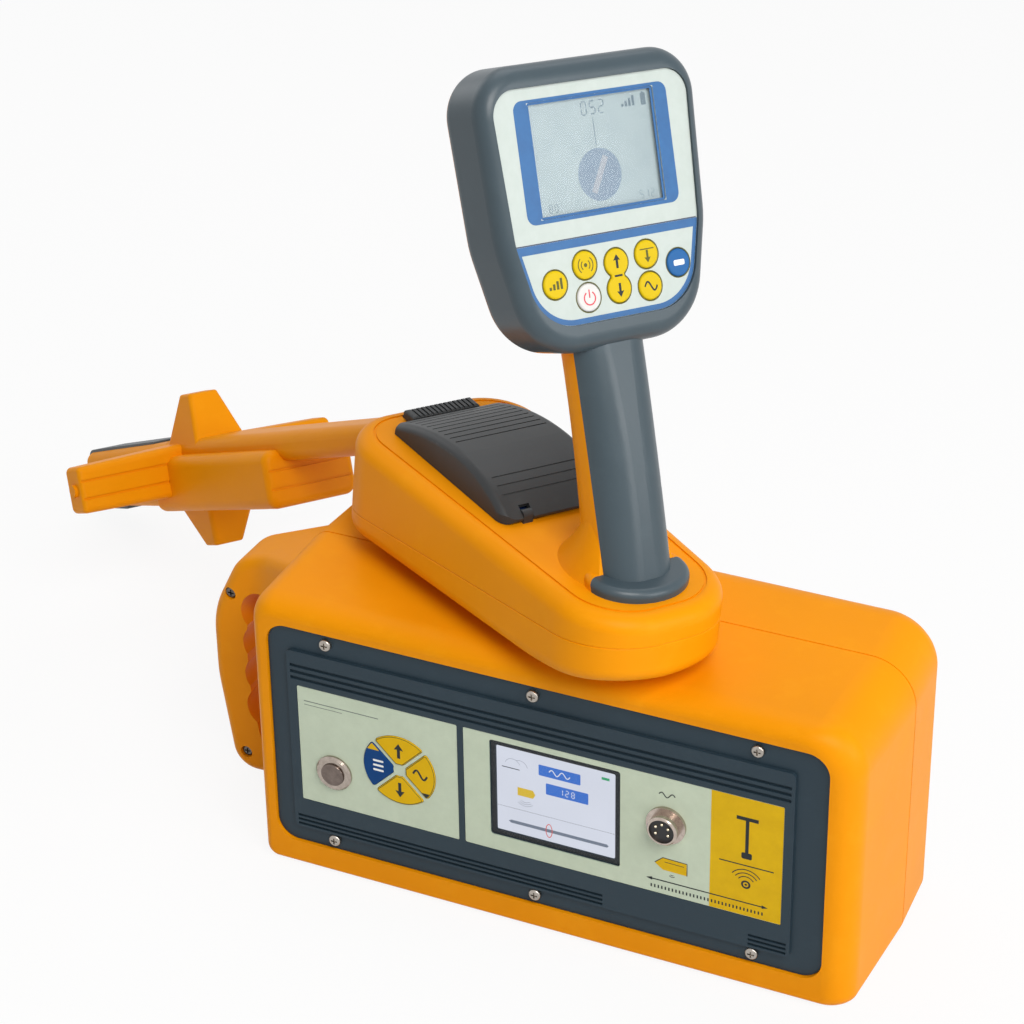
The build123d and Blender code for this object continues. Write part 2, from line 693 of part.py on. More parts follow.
for i in range(4):
    angle = radians(45 + 90 * i)
    x = keypad_at[0] + key_post_r * cos(angle)
    z = keypad_at[1] + key_post_r * sin(angle)
    front_panel += rod_y(x, z, 3, PANEL_BACK - 1, key_board_front)

panel_gasket = slab(offset(panel_outline, -1) - ledge_window, PANEL_BACK, LEDGE_FRONT)
for x, z in panel_screw_places:
    panel_gasket -= rod_y(x, z, PASS_HOLE_D, PANEL_BACK - 1, LEDGE_FRONT + 1)
panel_screws = Part() + [facing(x, PANEL_FRONT, z, (0, -1, 0)) * screw(12) for x, z in panel_screw_places]

panel_label_left = slab(offset(label_left_outline, -LABEL_CLEAR), LABEL_FRONT, LABEL_BACK)
panel_label_left -= rod_y(*power_at, POWER_BARREL_D + 2 * HOLE_CLEAR, LABEL_FRONT - 1, LABEL_BACK + 1)
for outline in key_outlines.values():
    panel_label_left -= slab(offset(outline, KEY_CLEAR), LABEL_FRONT - 1, LABEL_BACK + 1)
panel_label_right = slab(offset(label_right_outline, -LABEL_CLEAR), LABEL_FRONT, LABEL_BACK)
panel_label_right -= slab(offset(window_outline, HOLE_CLEAR), LABEL_FRONT - 1, LABEL_BACK + 1)
panel_label_right -= rod_y(*socket_at, SOCKET_BACK_D + 2 * HOLE_CLEAR, LABEL_FRONT - 1, LABEL_BACK + 1)


# Display behind the panel, keys, power switch and output socket

display_window = slab(window_outline, window_front, window_back)
module_outline = span(display_x0 - 3, display_x1 + 3, display_z0 - 3, display_z1 + 3, 1)
display_module = slab(module_outline, PANEL_BACK, PANEL_BACK + 5)
display_module += slab(offset(view_outline, -0.4), window_back + 0.2, PANEL_BACK + 1)

keys = {}
for name, outline in key_outlines.items():
    key = slab(outline, LABEL_FRONT - KEY_PROUD, PANEL_BACK + KEY_REST_GAP + KEY_FLANGE_T)
    key = fillet(key.edges().group_by(Axis.Y)[0], 0.4)
    flange_front = PANEL_BACK + KEY_REST_GAP
    keys[name] = key + slab(offset(outline, KEY_FLANGE), flange_front, flange_front + KEY_FLANGE_T)
keypad_board = rod_y(*keypad_at, 2 * key_board_r, key_board_front, key_board_front + BOARD_T)
nut_room_d = POWER_NUT_W / cos(radians(30)) + 2 * NUT_ROOM
keypad_board -= rod_y(*power_at, nut_room_d, key_board_front - 1, key_board_front + BOARD_T + 1)

main_board_outline = span(main_board_x0, main_board_x1, main_board_z0, main_board_z1, 3)
main_board = slab(main_board_outline, main_board_front, main_board_front + BOARD_T)

power_flange_front = LABEL_FRONT - 2.2
power_button_back = power_flange_front + 8
power_switch_body = rod_y(*power_at, POWER_FLANGE_D, power_flange_front, LABEL_FRONT)
power_switch_body = chamfer(power_switch_body.edges().group_by(Axis.Y)[0], 1.0)
power_switch_body += rod_y(*power_at, POWER_BARREL_D, LABEL_FRONT - 1, PANEL_BACK + 17)
power_bore_d = POWER_BUTTON_D + 2 * RUNNING_CLEAR
power_bore_back = power_button_back + POWER_TRAVEL + 0.5
power_switch_body -= rod_y(*power_at, power_bore_d, power_flange_front - 1, power_bore_back)
power_button = rod_y(*power_at, POWER_BUTTON_D, power_flange_front - 1.2, power_button_back)
power_button = fillet(power_button.edges().group_by(Axis.Y)[0], 0.5)
nut_back = PANEL_BACK + NUT_T
power_nut_bore = POWER_BARREL_D + 2 * SCREW_CLEAR
power_switch_nut = hex_nut(*power_at, POWER_NUT_W, power_nut_bore, PANEL_BACK, nut_back)

socket_front = LABEL_FRONT - SOCKET_REACH
insert_front = socket_front + INSERT_SINK
insert_step = LABEL_FRONT - 1
socket_back = PANEL_BACK + 11
output_socket = rod_y(*socket_at, SOCKET_D, socket_front, LABEL_FRONT)
output_socket = chamfer(output_socket.edges().group_by(Axis.Y)[0], 0.6)
output_socket += rod_y(*socket_at, SOCKET_FLANGE_D, LABEL_FRONT - SOCKET_FLANGE_T, LABEL_FRONT)
output_socket += rod_y(*socket_at, SOCKET_BACK_D, LABEL_FRONT - 1, socket_back)
output_socket -= rod_y(*socket_at, SOCKET_BORE_D, socket_front - 1, insert_step)
output_socket -= rod_y(*socket_at, SOCKET_BACK_D - 4, socket_front - 1, socket_back + 1)
socket_insert = rod_y(*socket_at, SOCKET_BORE_D - 2 * SCREW_CLEAR, insert_front, insert_step)
socket_insert += rod_y(*socket_at, SOCKET_BACK_D - 4 - 2 * SCREW_CLEAR, insert_step - 1, socket_back)
socket_pins = Part()
for i in range(PIN_COUNT):
    angle = radians(90 + 300 / PIN_COUNT * (i - (PIN_COUNT - 1) / 2))
    x = socket_at[0] + PIN_CIRCLE_D / 2 * cos(angle)
    z = socket_at[1] + PIN_CIRCLE_D / 2 * sin(angle)
    socket_insert -= rod_y(x, z, PIN_D + 2 * SCREW_CLEAR, insert_front - 1, socket_back + 1)
    pin = rod_y(x, z, PIN_D, insert_front - PIN_PROUD, socket_back + 4)
    socket_pins += fillet(pin.edges().group_by(Axis.Y)[0], 0.5)
socket_nut_bore = SOCKET_BACK_D + 2 * SCREW_CLEAR
socket_nut = hex_nut(*socket_at, SOCKET_NUT_W, socket_nut_bore, PANEL_BACK, nut_back)


# Inside the transmitter: battery pack on the floor, output board on posts, aerial rod in two holders

output_x1 = CASE_L / 2 - OUTPUT_BOARD_FROM_END
output_x0 = output_x1 - OUTPUT_BOARD_L
battery_x0 = -CASE_L / 2 + BATTERY_FROM_END
battery_x1 = output_x0 - BATTERY_BOARD_GAP
battery_back = CASE_BACK - BACK_ROUND_DEPTH
battery_top = CASE_H - BATTERY_GAP_ABOVE
battery_pack = block(battery_x0, battery_x1, PARTING_Y + 2, battery_back, CASE_WALL, battery_top)
battery_pack = fillet(battery_pack.edges().filter_by(Axis.X), 2)
output_z1 = CASE_H - OUTPUT_BOARD_GAP_ABOVE
output_y = PARTING_Y + OUTPUT_BOARD_SET_BACK
output_outline = span(output_x0, output_x1, OUTPUT_BOARD_LOW, output_z1, 3)
output_board = slab(output_outline, output_y, output_y + BOARD_T)
for x in (output_x0 + BOARD_POST_INSET, output_x1 - BOARD_POST_INSET):
    for z in (OUTPUT_BOARD_LOW + BOARD_POST_INSET, output_z1 - BOARD_POST_INSET):
        rear_case += rod_y(x, z, BOARD_POST_D, output_y + BOARD_T, CASE_BACK - CASE_WALL + 1)
aerial_at = (PARTING_Y + AERIAL_SET_BACK, CASE_H - AERIAL_DROP)
aerial_bore = AERIAL_D + 2 * SCREW_CLEAR
coil_x0 = AERIAL_X - AERIAL_COIL_L / 2
coil_x1 = AERIAL_X + AERIAL_COIL_L / 2
ferrite_rod = rod_x(*aerial_at, AERIAL_D, AERIAL_X - AERIAL_L / 2, AERIAL_X + AERIAL_L / 2)
rod_winding = rod_x(*aerial_at, AERIAL_COIL_D, coil_x0, coil_x1)
rod_winding -= rod_x(*aerial_at, aerial_bore, coil_x0 - 1, coil_x1 + 1)
rod_holders = Part()
for side in (-1, 1):
    x = AERIAL_X + side * HOLDER_SPREAD / 2
    holder = slab(
        span(x - HOLDER_L / 2, x + HOLDER_L / 2, aerial_at[1] - 9, aerial_at[1] + 5.9),
        aerial_at[0] - 9,
        CASE_BACK - CASE_WALL,
    )
    rod_holders += holder - rod_x(*aerial_at, aerial_bore, x - HOLDER_L, x + HOLDER_L)

transmitter = {
    "front_case": front_case,
    "rear_case": rear_case,
    "case_seal": case_seal,
    "case_screws": case_screws,
    "carry_handle_front": carry_handle_front,
    "carry_handle_rear": carry_handle_rear,
    "handle_screws": handle_screws,
    "front_panel": front_panel,
    "panel_gasket": panel_gasket,
    "panel_screws": panel_screws,
    "panel_label_left": panel_label_left,
    "panel_label_right": panel_label_right,
    "display_window": display_window,
    "display_module": display_module,
    "keypad_board": keypad_board,
    "main_board": main_board,
    "power_switch_body": power_switch_body,
    "power_button": power_button,
    "power_switch_nut": power_switch_nut,
    "output_socket": output_socket,
    "socket_insert": socket_insert,
    "socket_pins": socket_pins,
    "socket_nut": socket_nut,
    "battery_pack": battery_pack,
    "output_board": output_board,
    "ferrite_rod": ferrite_rod,
    "rod_winding": rod_winding,
    "rod_holders": rod_holders,
    **keys,
}


# Receiver body: a shallow V belly, walls that spread toward the back, and a sloping deck

def rx_plan(inset):
    spread = (RX_BACK_W - RX_NOSE_W) / 2 / RX_L
    nose = RX_NOSE_W / 2 - inset + spread * inset
    back = RX_BACK_W / 2 - inset - spread * inset
    return rounded_polygon(
        (inset, -nose, RX_NOSE_R - inset),
        (RX_L - inset, -back, RX_BACK_R - inset),
        (RX_L - inset, back, RX_BACK_R - inset),
        (inset, nose, RX_NOSE_R - inset),
    )


def belly_half(side, keel):
    """Space above one face of the belly, which runs level and then bends up toward the nose."""
    radius = (NOSE_RAMP_L**2 + NOSE_RISE**2) / (2 * NOSE_RISE)
    swing = 1.05 * asin(NOSE_RAMP_L / radius)
    bend = [(NOSE_RAMP_L - radius * sin(a), radius - radius * cos(a)) for a in (0, swing / 2, swing)]
    top = (bend[2][0], RX_BACK_W)
    profile = make_face([
        ThreePointArc(*bend),
        Polyline(bend[2], top, (RX_L + 1, RX_BACK_W), (RX_L + 1, 0), bend[0]),
    ])
    tilt = radians(BELLY_ANGLE)
    plane = Plane(origin=(0, 0, keel), x_dir=(1, 0, 0), z_dir=(0, -cos(tilt), -side * sin(tilt)))
    return extrude(plane * profile, amount=RX_BACK_W, both=True)


def rx_form(inset):
    """Body from its outline, belly and deck; with an inset, the room inside its walls."""
    keel = inset / cos(radians(BELLY_ANGLE))
    plan = rx_plan(inset)
    trough = belly_half(1, keel) & belly_half(-1, keel)
    keel_edges = trough.edges().filter_by(lambda e: abs(e.center().Y) < 0.01 and e.center().Z < RX_PARTING_Z)
    trough = fillet(keel_edges.filter_by(lambda e: e.length > 1), KEEL_R)
    form = extrude(plan, amount=RX_BACK_W) & trough
    form = split(form, deck_frame.offset(-inset), keep=Keep.BOTTOM)
    deck = deck_frame.offset(-inset)
    deck_edges = form.edges().filter_by(lambda e: abs(deck.to_local_coords(e.center()).Z) < 0.01)
    form = fillet(deck_edges, DECK_EDGE_R - inset)
    rim = plan.faces()[0].outer_wire()
    belly_edges = form.edges().filter_by(Axis.Z, reverse=True)
    belly_edges = belly_edges.filter_by(lambda e: e.center().Z < RX_PARTING_Z / 2)
    belly_edges = belly_edges.filter_by(lambda e: rim.distance_to((e.center().X, e.center().Y, 0)) < 0.01)
    return fillet(belly_edges, BELLY_EDGE_R - inset)


fall = radians(RX_PARTING_ANGLE)
rx_parting = Plane(
    origin=(0, 0, RX_PARTING_Z),
    x_dir=(cos(fall), 0, -sin(fall)),
    z_dir=(sin(fall), 0, cos(fall)),
)


def bevel_parting(shell):
    """Break the outer edge of a shell where it meets its other half."""
    rims = shell.faces().filter_by(lambda f: abs(rx_parting.to_local_coords(f.center()).Z) < 0.01)
    rims = rims.filter_by(lambda f: f.area > 50)
    edges = rims.sort_by(lambda f: f.area)[-1].outer_wire().edges()
    return chamfer(edges, RX_PARTING_BEVEL)


rx_shell = rx_form(0) - rx_form(RX_WALL)
receiver_lower_shell = bevel_parting(split(rx_shell, rx_parting, keep=Keep.BOTTOM))
receiver_upper_shell = bevel_parting(split(rx_shell, rx_parting, keep=Keep.TOP))

# Screws join the two shells from below, in posts that meet at the parting plane
rx_post_places = [(x, side * y) for x, y in ((46, 26), (RX_L - 28, 40)) for side in (-1, 1)]
rx_room = rx_form(RX_WALL - 0.5)
rx_posts = Part() + [rod_z(x, y, POST_D, 0, RX_BACK_W) for x, y in rx_post_places]
rx_posts &= rx_room
receiver_lower_shell += split(rx_posts, rx_parting, keep=Keep.BOTTOM)
receiver_upper_shell += split(rx_posts, rx_parting, keep=Keep.TOP)
for x, y in rx_post_places:
    receiver_lower_shell -= rod_z(x, y, HEAD_HOLE_D, -1, RX_SCREW_SEAT)
    receiver_lower_shell -= rod_z(x, y, PASS_HOLE_D, 0, RX_BACK_W)
    receiver_upper_shell -= rod_z(x, y, SCREW_HOLE_D, 0, RX_SCREW_SEAT + RX_SCREW_L + 1)
receiver_screws = Part() + [
    facing(x, y, RX_SCREW_SEAT, (0, 0, -1)) * screw(RX_SCREW_L) for x, y in rx_post_places
]

# Groove round the deck
groove_outline = rx_plan(DECK_GROOVE_INSET) - rx_plan(DECK_GROOVE_INSET + DECK_GROOVE_W)
receiver_upper_shell -= extrude(deck_frame.offset(-DECK_GROOVE_DEPTH) * groove_outline, amount=5)

# Battery bay, sunk in the deck under the cover
bay_x0 = COVER_FROM + BAY_INSET
bay_x1 = COVER_TO - BAY_INSET
bay_y = COVER_W / 2 - 6
tub_y = bay_y + BAY_WALL
receiver_upper_shell += deck_frame * block(
    bay_x0 - BAY_WALL, bay_x1 + BAY_WALL, -tub_y, tub_y, -BAY_DEPTH - BAY_WALL, -RX_WALL / 2
)
receiver_upper_shell -= deck_frame * block(bay_x0, bay_x1, -bay_y, bay_y, -BAY_DEPTH, 5)
cell_y = bay_y - BATTERY_CLEAR
receiver_battery = deck_frame * block(
    bay_x0 + BATTERY_CLEAR, bay_x1 - BATTERY_CLEAR, -cell_y, cell_y, -BAY_DEPTH, 3
)

# Battery cover: a ribbed dome that swings on a pin at its front edge, with a tongue for the latch
def crown_arc(x_end, z_end):
    """Arc that is level at the cover's peak and ends at the given point."""
    reach = x_end - COVER_FROM - COVER_PEAK
    drop = COVER_RISE - z_end
    radius = (reach * reach + drop * drop) / (2 * drop)
    half_way = (COVER_FROM + COVER_PEAK + reach / 2, COVER_RISE - radius + (radius**2 - reach**2 / 4) ** 0.5)
    return ThreePointArc((COVER_FROM + COVER_PEAK, COVER_RISE), half_way, (x_end, z_end))


crown_front = crown_arc(COVER_FROM, HINGE_Z)
crown_back = crown_arc(COVER_TO, COVER_TAIL)
lip_mid = (HINGE_X - HINGE_R * sin(radians(45)), HINGE_Z - HINGE_R * sin(radians(45)))
cover_outline = make_face([
    crown_front,
    crown_back,
    Line((COVER_TO, COVER_TAIL), (COVER_TO, COVER_GAP)),
    Line((COVER_TO, COVER_GAP), (HINGE_X, COVER_GAP)),
    ThreePointArc((HINGE_X, COVER_GAP), lip_mid, (COVER_FROM, HINGE_Z)),
])
cover_y = COVER_W / 2
cover = slab(cover_outline, -cover_y, cover_y)
cover_rims = cover.edges().filter_by(lambda e: abs(abs(e.center().Y) - cover_y) < 0.01)
cover_rims = cover_rims.filter_by(lambda e: e.center().Z > COVER_TAIL)
cover = fillet(cover_rims, COVER_EDGE_R)
cover_plan = span(COVER_FROM, COVER_TO + COVER_CORNER_R, -cover_y, cover_y, COVER_CORNER_R)
cover &= extrude(cover_plan, amount=2 * COVER_RISE)
cover_inside_y = cover_y - COVER_WALL
room_x0 = HINGE_X + HINGE_R
cover_room = slab(offset(cover_outline, -COVER_WALL), -cover_inside_y, cover_inside_y)
room_top = COVER_GAP + COVER_WALL + 0.5
cover_room += block(room_x0, COVER_TO - COVER_WALL, -cover_inside_y, cover_inside_y, COVER_GAP - 1, room_top)
cover -= cover_room - rod_y(HINGE_X, HINGE_Z, 2 * HINGE_R + 1.2, -cover_y, cover_y)
rib_y = cover_y - COVER_EDGE_R - 2
for crown, (first, step, count) in ((crown_front, RIB_FRONT), (crown_back, RIB_BACK)):
    for i in range(count):
        place = first + i * step
        at = crown.position_at(place)
        along = crown.tangent_at(place)
        rib_frame = Plane(origin=(at.X, 0, at.Y), x_dir=(along.X, 0, along.Y), z_dir=(0, 1, 0))
        cover -= rib_frame * Box(RIB_W, 2 * RIB_DEPTH, 2 * rib_y)
tongue_top = COVER_GAP + 0.7
tongue_low = tongue_top - TONGUE_T
tongue_x1 = COVER_TO + TONGUE_L
tongue_y = TONGUE_W / 2
latch_x = COVER_TO + TONGUE_L / 2
stem_y = 6.0
cover += block(COVER_TO - COVER_WALL, tongue_x1, -tongue_y, tongue_y, tongue_low, tongue_top)
slot_x0 = latch_x - LATCH_STEM / 2 - LATCH_TRAVEL - 0.3
slot_x1 = latch_x + LATCH_STEM / 2 + 0.3
cover -= block(slot_x0, slot_x1, -stem_y - 0.3, stem_y + 0.3, tongue_low - 1, tongue_top + 1)
for side in (-1, 1):
    ear_y0 = side * EAR_Y - EAR_W / 2 - EAR_GAP
    ear_y1 = side * EAR_Y + EAR_W / 2 + EAR_GAP
    cover -= block(
        COVER_FROM - 1, room_x0 + 1.2, ear_y0, ear_y1, COVER_GAP - 1, HINGE_Z + HINGE_R + 1.2
    )
cover -= rod_y(HINGE_X, HINGE_Z, HINGE_PIN_D + 2 * HINGE_CLEAR, -cover_inside_y + 3, cover_inside_y - 3)
battery_cover = deck_frame * cover

# Hinge ears, rooted in pockets of the deck, and the pin through them
hinge_ears = Part()
for side in (-1, 1):
    ear_mid = side * EAR_Y
    ear_y = (ear_mid - EAR_W / 2, ear_mid + EAR_W / 2)
    ear_x = (HINGE_X - HINGE_R + 0.2, HINGE_X + HINGE_R - 0.2)
    ear = rod_y(HINGE_X, HINGE_Z, 2 * HINGE_R - 0.4, *ear_y)
    ear += block(*ear_x, *ear_y, -EAR_ROOT, HINGE_Z)
    ear -= rod_y(HINGE_X, HINGE_Z, HINGE_PIN_D + 2 * HINGE_CLEAR, ear_y[0] - 1, ear_y[1] + 1)
    hinge_ears += deck_frame * ear
    receiver_upper_shell -= deck_frame * block(
        ear_x[0] - EAR_CLEAR, ear_x[1] + EAR_CLEAR, ear_y[0] - EAR_CLEAR, ear_y[1] + EAR_CLEAR, -EAR_ROOT, 5
    )
hinge_pin = deck_frame * rod_y(HINGE_X, HINGE_Z, HINGE_PIN_D, -cover_inside_y + 3.5, cover_inside_y - 3.5)

# Seat for the tongue, and the thumb latch that slides on it
receiver_upper_shell -= deck_frame * block(
    COVER_TO - COVER_WALL - 0.4, tongue_x1 + 0.4, -tongue_y - 0.4, tongue_y + 0.4, tongue_low - COVER_GAP, 5
)
receiver_upper_shell -= deck_frame * block(
    slot_x0 - 0.7, slot_x1 + 0.7, -stem_y - 1, stem_y + 1, -RX_WALL - 3, 5
)
latch_low = tongue_top + 0.05
latch_y = LATCH_W / 2
latch_top = latch_low + LATCH_H
latch = block(latch_x - LATCH_L / 2, latch_x + LATCH_L / 2, -latch_y, latch_y, latch_low, latch_top)
latch = fillet(latch.edges().group_by(Axis.Z)[-1], 1.5)
for i in range(LATCH_RIBS):
    y = (i - (LATCH_RIBS - 1) / 2) * (LATCH_W - 8) / (LATCH_RIBS - 1)
    latch -= block(latch_x - LATCH_L, latch_x + LATCH_L, y - 0.6, y + 0.6, latch_top - 0.8, latch_top + 1)
latch += block(
    latch_x - LATCH_STEM / 2, latch_x + LATCH_STEM / 2, -stem_y, stem_y, tongue_low - 1.2, latch_low + 1
)
cover_latch = deck_frame * latch


# Grip and display head, drawn in the stem frame and cut to the deck

def grip_section(z, width, depth, shift, radius=GRIP_R):
    plane = Plane(origin=(0, GRIP_Y + shift, z), x_dir=(1, 0, 0), z_dir=(0, 0, 1))
    return plane * RectangleRounded(width, depth, radius)


def mirrored_outline(*right):
    """Closed outline from the corners of its right half, listed from the top."""
    left = [(-x, z, radius) for x, z, radius in reversed(right)]
    return rounded_polygon(*right, *left)


head_mid_z = HEAD_FOOT + HEAD_MID
head_outline = mirrored_outline(
    (HEAD_TOP_W / 2, HEAD_TOP, HEAD_TOP_R),
    (HEAD_MID_W / 2, head_mid_z, 60),
    (HEAD_FOOT_W / 2, HEAD_FOOT, HEAD_FOOT_R),
)
plate_outline = mirrored_outline(
    (HEAD_TOP_W / 2 - PLATE_SIDE_RIM, PLATE_HIGH, 13),
    (HEAD_MID_W / 2 - PLATE_SIDE_RIM, head_mid_z, 40),
    (HEAD_FOOT_W / 2 - PLATE_SIDE_RIM + 3, PLATE_LOW, 26),
)
head_form = slab(head_outline, HEAD_BACK, HEAD_FRONT)
head_form = fillet(head_form.edges().group_by(Axis.Y)[-1], HEAD_FRONT_R)
head_form = fillet(head_form.edges().group_by(Axis.Y)[0], HEAD_BACK_R)
grip_form = loft([
    grip_section(-20, GRIP_FOOT_W, GRIP_FOOT_T, GRIP_FOOT_SHIFT),
    grip_section(GRIP_MID, GRIP_W, GRIP_T, 0),
    grip_section(HEAD_FOOT + 12, GRIP_TOP_W, GRIP_TOP_T, GRIP_TOP_SHIFT, GRIP_TOP_R),
])
wire_room = rod_z(0, GRIP_Y, WIRE_D, -30, HEAD_FOOT + 12)
head_room = slab(offset(head_outline, -HEAD_ROOM_INSET), HEAD_BACK + HEAD_WALL, FACE_WALL_BACK)

# Foot: a low flange in front and a flare behind, both standing on the deck
foot_x = STEM_FOOT_X + 1
flange = extrude(deck_frame * (Pos(foot_x, 0) * Ellipse(FOOT_L / 2, FOOT_W / 2)), amount=FOOT_T)
flange = fillet(flange.edges().sort_by(lambda e: deck_frame.to_local_coords(e.center()).Z)[-1], 4)
flare_x = foot_x + FLARE_SET_BACK
flare = loft([
    deck_frame * (Pos(flare_x, 0) * Ellipse(FLARE_L / 2, FLARE_W / 2)),
    deck_frame.offset(14) * (Pos(flare_x, 0) * Ellipse(FLARE_L * 0.36, FLARE_W * 0.4)),
    stem_frame * (Pos(0, GRIP_Y, FLARE_H) * Ellipse(GRIP_W / 2 - 1, GRIP_T / 2 - 1)),
])
head_join_z = HEAD_FOOT + HEAD_JOIN
front_side = block(-RX_L, RX_L, STEM_SPLIT, RX_L, -RX_L, head_join_z)
front_side += block(-RX_L, RX_L, HEAD_SPLIT, RX_L, head_join_z, 2 * RX_L)
front_side = stem_frame * front_side
stem_form = stem_frame * (grip_form + head_form)
stem_form += flange
stem_form += flare - front_side
stem_form = split(stem_form, deck_frame, keep=Keep.TOP)
stem_form -= stem_frame * wire_room
stem_form -= stem_frame * head_room
grip_front = stem_form & front_side
grip_rear = stem_form - front_side
receiver_upper_shell -= stem_frame * rod_z(0, GRIP_Y, WIRE_D, -16, 20)

# Openings of the display and keys in the head's face wall
screen_view = Pos(0, SCREEN_Z) * RectangleRounded(SCREEN_W, SCREEN_H, 1.5)
screen_pane = Pos(0, SCREEN_Z) * RectangleRounded(SCREEN_W + 2 * PANE_LAP, SCREEN_H + 2 * PANE_LAP, 2)
rocker_z = HEAD_FOOT + RX_KEY_MID
key_row_rise = (RX_KEY_D + RX_KEY_GAP_UP) / 2
key_rows = (rocker_z + key_row_rise, rocker_z - key_row_rise)
key_end_z = rocker_z + RX_KEY_END_RISE
key_pitch = RX_KEY_D + RX_KEY_GAP_ACROSS
column_x = {place: RX_KEY_SHIFT + place * key_pitch for place in (-2, -1, 0, 1, 2)}
rx_key_places = {
    "receiver_volume_key": (column_x[2], key_end_z),
    "receiver_frequency_key": (column_x[1], key_rows[0]),
    "receiver_power_key": (column_x[1], key_rows[1]),
    "receiver_depth_key": (column_x[-1], key_rows[0]),
    "receiver_light_key": (column_x[-1], key_rows[1]),
    "receiver_info_key": (column_x[-2], key_end_z),
}
rocker_outline = Rectangle(ROCKER_WAIST, ROCKER_SPREAD)
for side in (-1, 1):
    rocker_outline += Pos(0, side * ROCKER_SPREAD / 2) * Circle(RX_KEY_D / 2)
rocker_outline = Pos(column_x[0], rocker_z) * rocker_outline
key_hole_d = RX_KEY_D + 2 * KEY_CLEAR
key_holes = Part() + [
    rod_y(x, z, key_hole_d, FACE_WALL_BACK - 1, HEAD_FRONT) for x, z in rx_key_places.values()
]
key_holes += slab(offset(rocker_outline, ROCKER_CLEAR), FACE_WALL_BACK - 1, HEAD_FRONT)
face_cuts = slab(offset(plate_outline, PLATE_CLEAR), PLATE_BACK, HEAD_FRONT + 1)
face_cuts += slab(offset(screen_pane, HOLE_CLEAR), PLATE_BACK - PANE_T, HEAD_FRONT)
face_cuts += slab(screen_view, FACE_WALL_BACK - 1, HEAD_FRONT)
grip_front -= stem_frame * (face_cuts + key_holes)
faceplate = slab(plate_outline, PLATE_BACK, PLATE_FRONT)
faceplate -= slab(screen_view, PLATE_BACK - 1, PLATE_FRONT + 1)
receiver_faceplate = stem_frame * (faceplate - key_holes)
receiver_window = stem_frame * slab(screen_pane, PLATE_BACK - PANE_T, PLATE_BACK)
screen_module = slab(offset(screen_pane, 2), RX_BOARD_FRONT, FACE_WALL_BACK)
screen_module += slab(offset(screen_view, -0.4), FACE_WALL_BACK - 1, PLATE_BACK - PANE_T - 0.2)
receiver_display = stem_frame * screen_module

# Board behind the face, on four posts, and the screws that hold the rear half
head_screw_pairs = ((HEAD_TOP_W / 2 - 13.5, HEAD_TOP - 14), (HEAD_FOOT_W / 2 - 14, HEAD_FOOT + 19))
head_screw_places = [(side * x, z) for x, z in head_screw_pairs for side in (-1, 1)]
board_outline = offset(head_outline, -HEAD_ROOM_INSET - 2)
receiver_board = slab(board_outline, RX_BOARD_FRONT - BOARD_T, RX_BOARD_FRONT)
for x, z in head_screw_places:
    receiver_board -= rod_y(x, z, POST_D, 0, HEAD_FRONT)
pivot_x0 = column_x[0] - PIVOT_L / 2
pivot_x1 = column_x[0] + PIVOT_L / 2
for x0, x1 in ((pivot_x0, pivot_x0 + 2), (pivot_x1 - 2, pivot_x1)):
    receiver_board += block(x0, x1, RX_BOARD_FRONT - 0.5, PIVOT_Y, rocker_z - 1.8, rocker_z + 1.8)
receiver_board -= rod_x(PIVOT_Y, rocker_z, PIVOT_D + 2 * PIVOT_CLEAR, pivot_x0 - 1, pivot_x1 + 1)
receiver_board = stem_frame * receiver_board
head_post_d = POST_D - 2
rx_board_post_x = SCREEN_W / 2 + RX_BOARD_POST_GAP
for side in (-1, 1):
    for z in (SCREEN_Z - 22, SCREEN_Z + 14):
        post = rod_y(side * rx_board_post_x, z, RX_BOARD_POST_D, RX_BOARD_FRONT, FACE_WALL_BACK + 1)
        grip_front += stem_frame * post
for x, z in head_screw_places:
    grip_front += stem_frame * rod_y(x, z, head_post_d, HEAD_SPLIT, FACE_WALL_BACK + 1)
    grip_rear += stem_frame * rod_y(x, z, head_post_d, HEAD_BACK + 1, HEAD_SPLIT)
head_screw_seat = HEAD_BACK + SCREW_HEAD_T + 0.6
stem_screws = [(x, z, head_screw_seat, RX_SCREW_L, HEAD_SPLIT) for x, z in head_screw_places]
for side in (-1, 1):
    stem_screws.append((side * GRIP_SCREW_X, GRIP_MID + 8, GRIP_SCREW_SEAT, GRIP_SCREW_L, STEM_SPLIT))
for x, z, seat, length, joint in stem_screws:
    grip_rear -= stem_frame * rod_y(x, z, HEAD_HOLE_D, 2 * HEAD_BACK, seat)
    grip_rear -= stem_frame * rod_y(x, z, PASS_HOLE_D, HEAD_BACK, joint + 1)
    grip_front -= stem_frame * rod_y(x, z, SCREW_HOLE_D, joint - 1, seat + length + 1)
    receiver_screws += stem_frame * (facing(x, seat, z, (0, -1, 0)) * screw(length))

# Receiver keys: round caps with a retaining flange, and the two-lobed up and down key
receiver_keys = {}
cap_front = PLATE_FRONT + RX_KEY_PROUD
rx_flange_front = FACE_WALL_BACK - KEY_REST_GAP
for name, (x, z) in rx_key_places.items():
    cap = rod_y(x, z, RX_KEY_D, rx_flange_front - KEY_FLANGE_T, cap_front)
    cap = fillet(cap.edges().group_by(Axis.Y)[-1], 1.2)
    cap += rod_y(x, z, RX_KEY_D + 2 * KEY_FLANGE - 0.2, rx_flange_front - KEY_FLANGE_T, rx_flange_front)
    receiver_keys[name] = stem_frame * cap
rocker_back = RX_BOARD_FRONT + 1.1
rocker = slab(rocker_outline, rocker_back, cap_front)
rocker = fillet(rocker.edges().group_by(Axis.Y)[-1], 1.0)
rocker += rod_x(PIVOT_Y, rocker_z, PIVOT_D, pivot_x0, pivot_x1)
receiver_keys["receiver_rocker_key"] = stem_frame * rocker


# Blade: spine, aerial block, side arms, wings and tip, split along its length

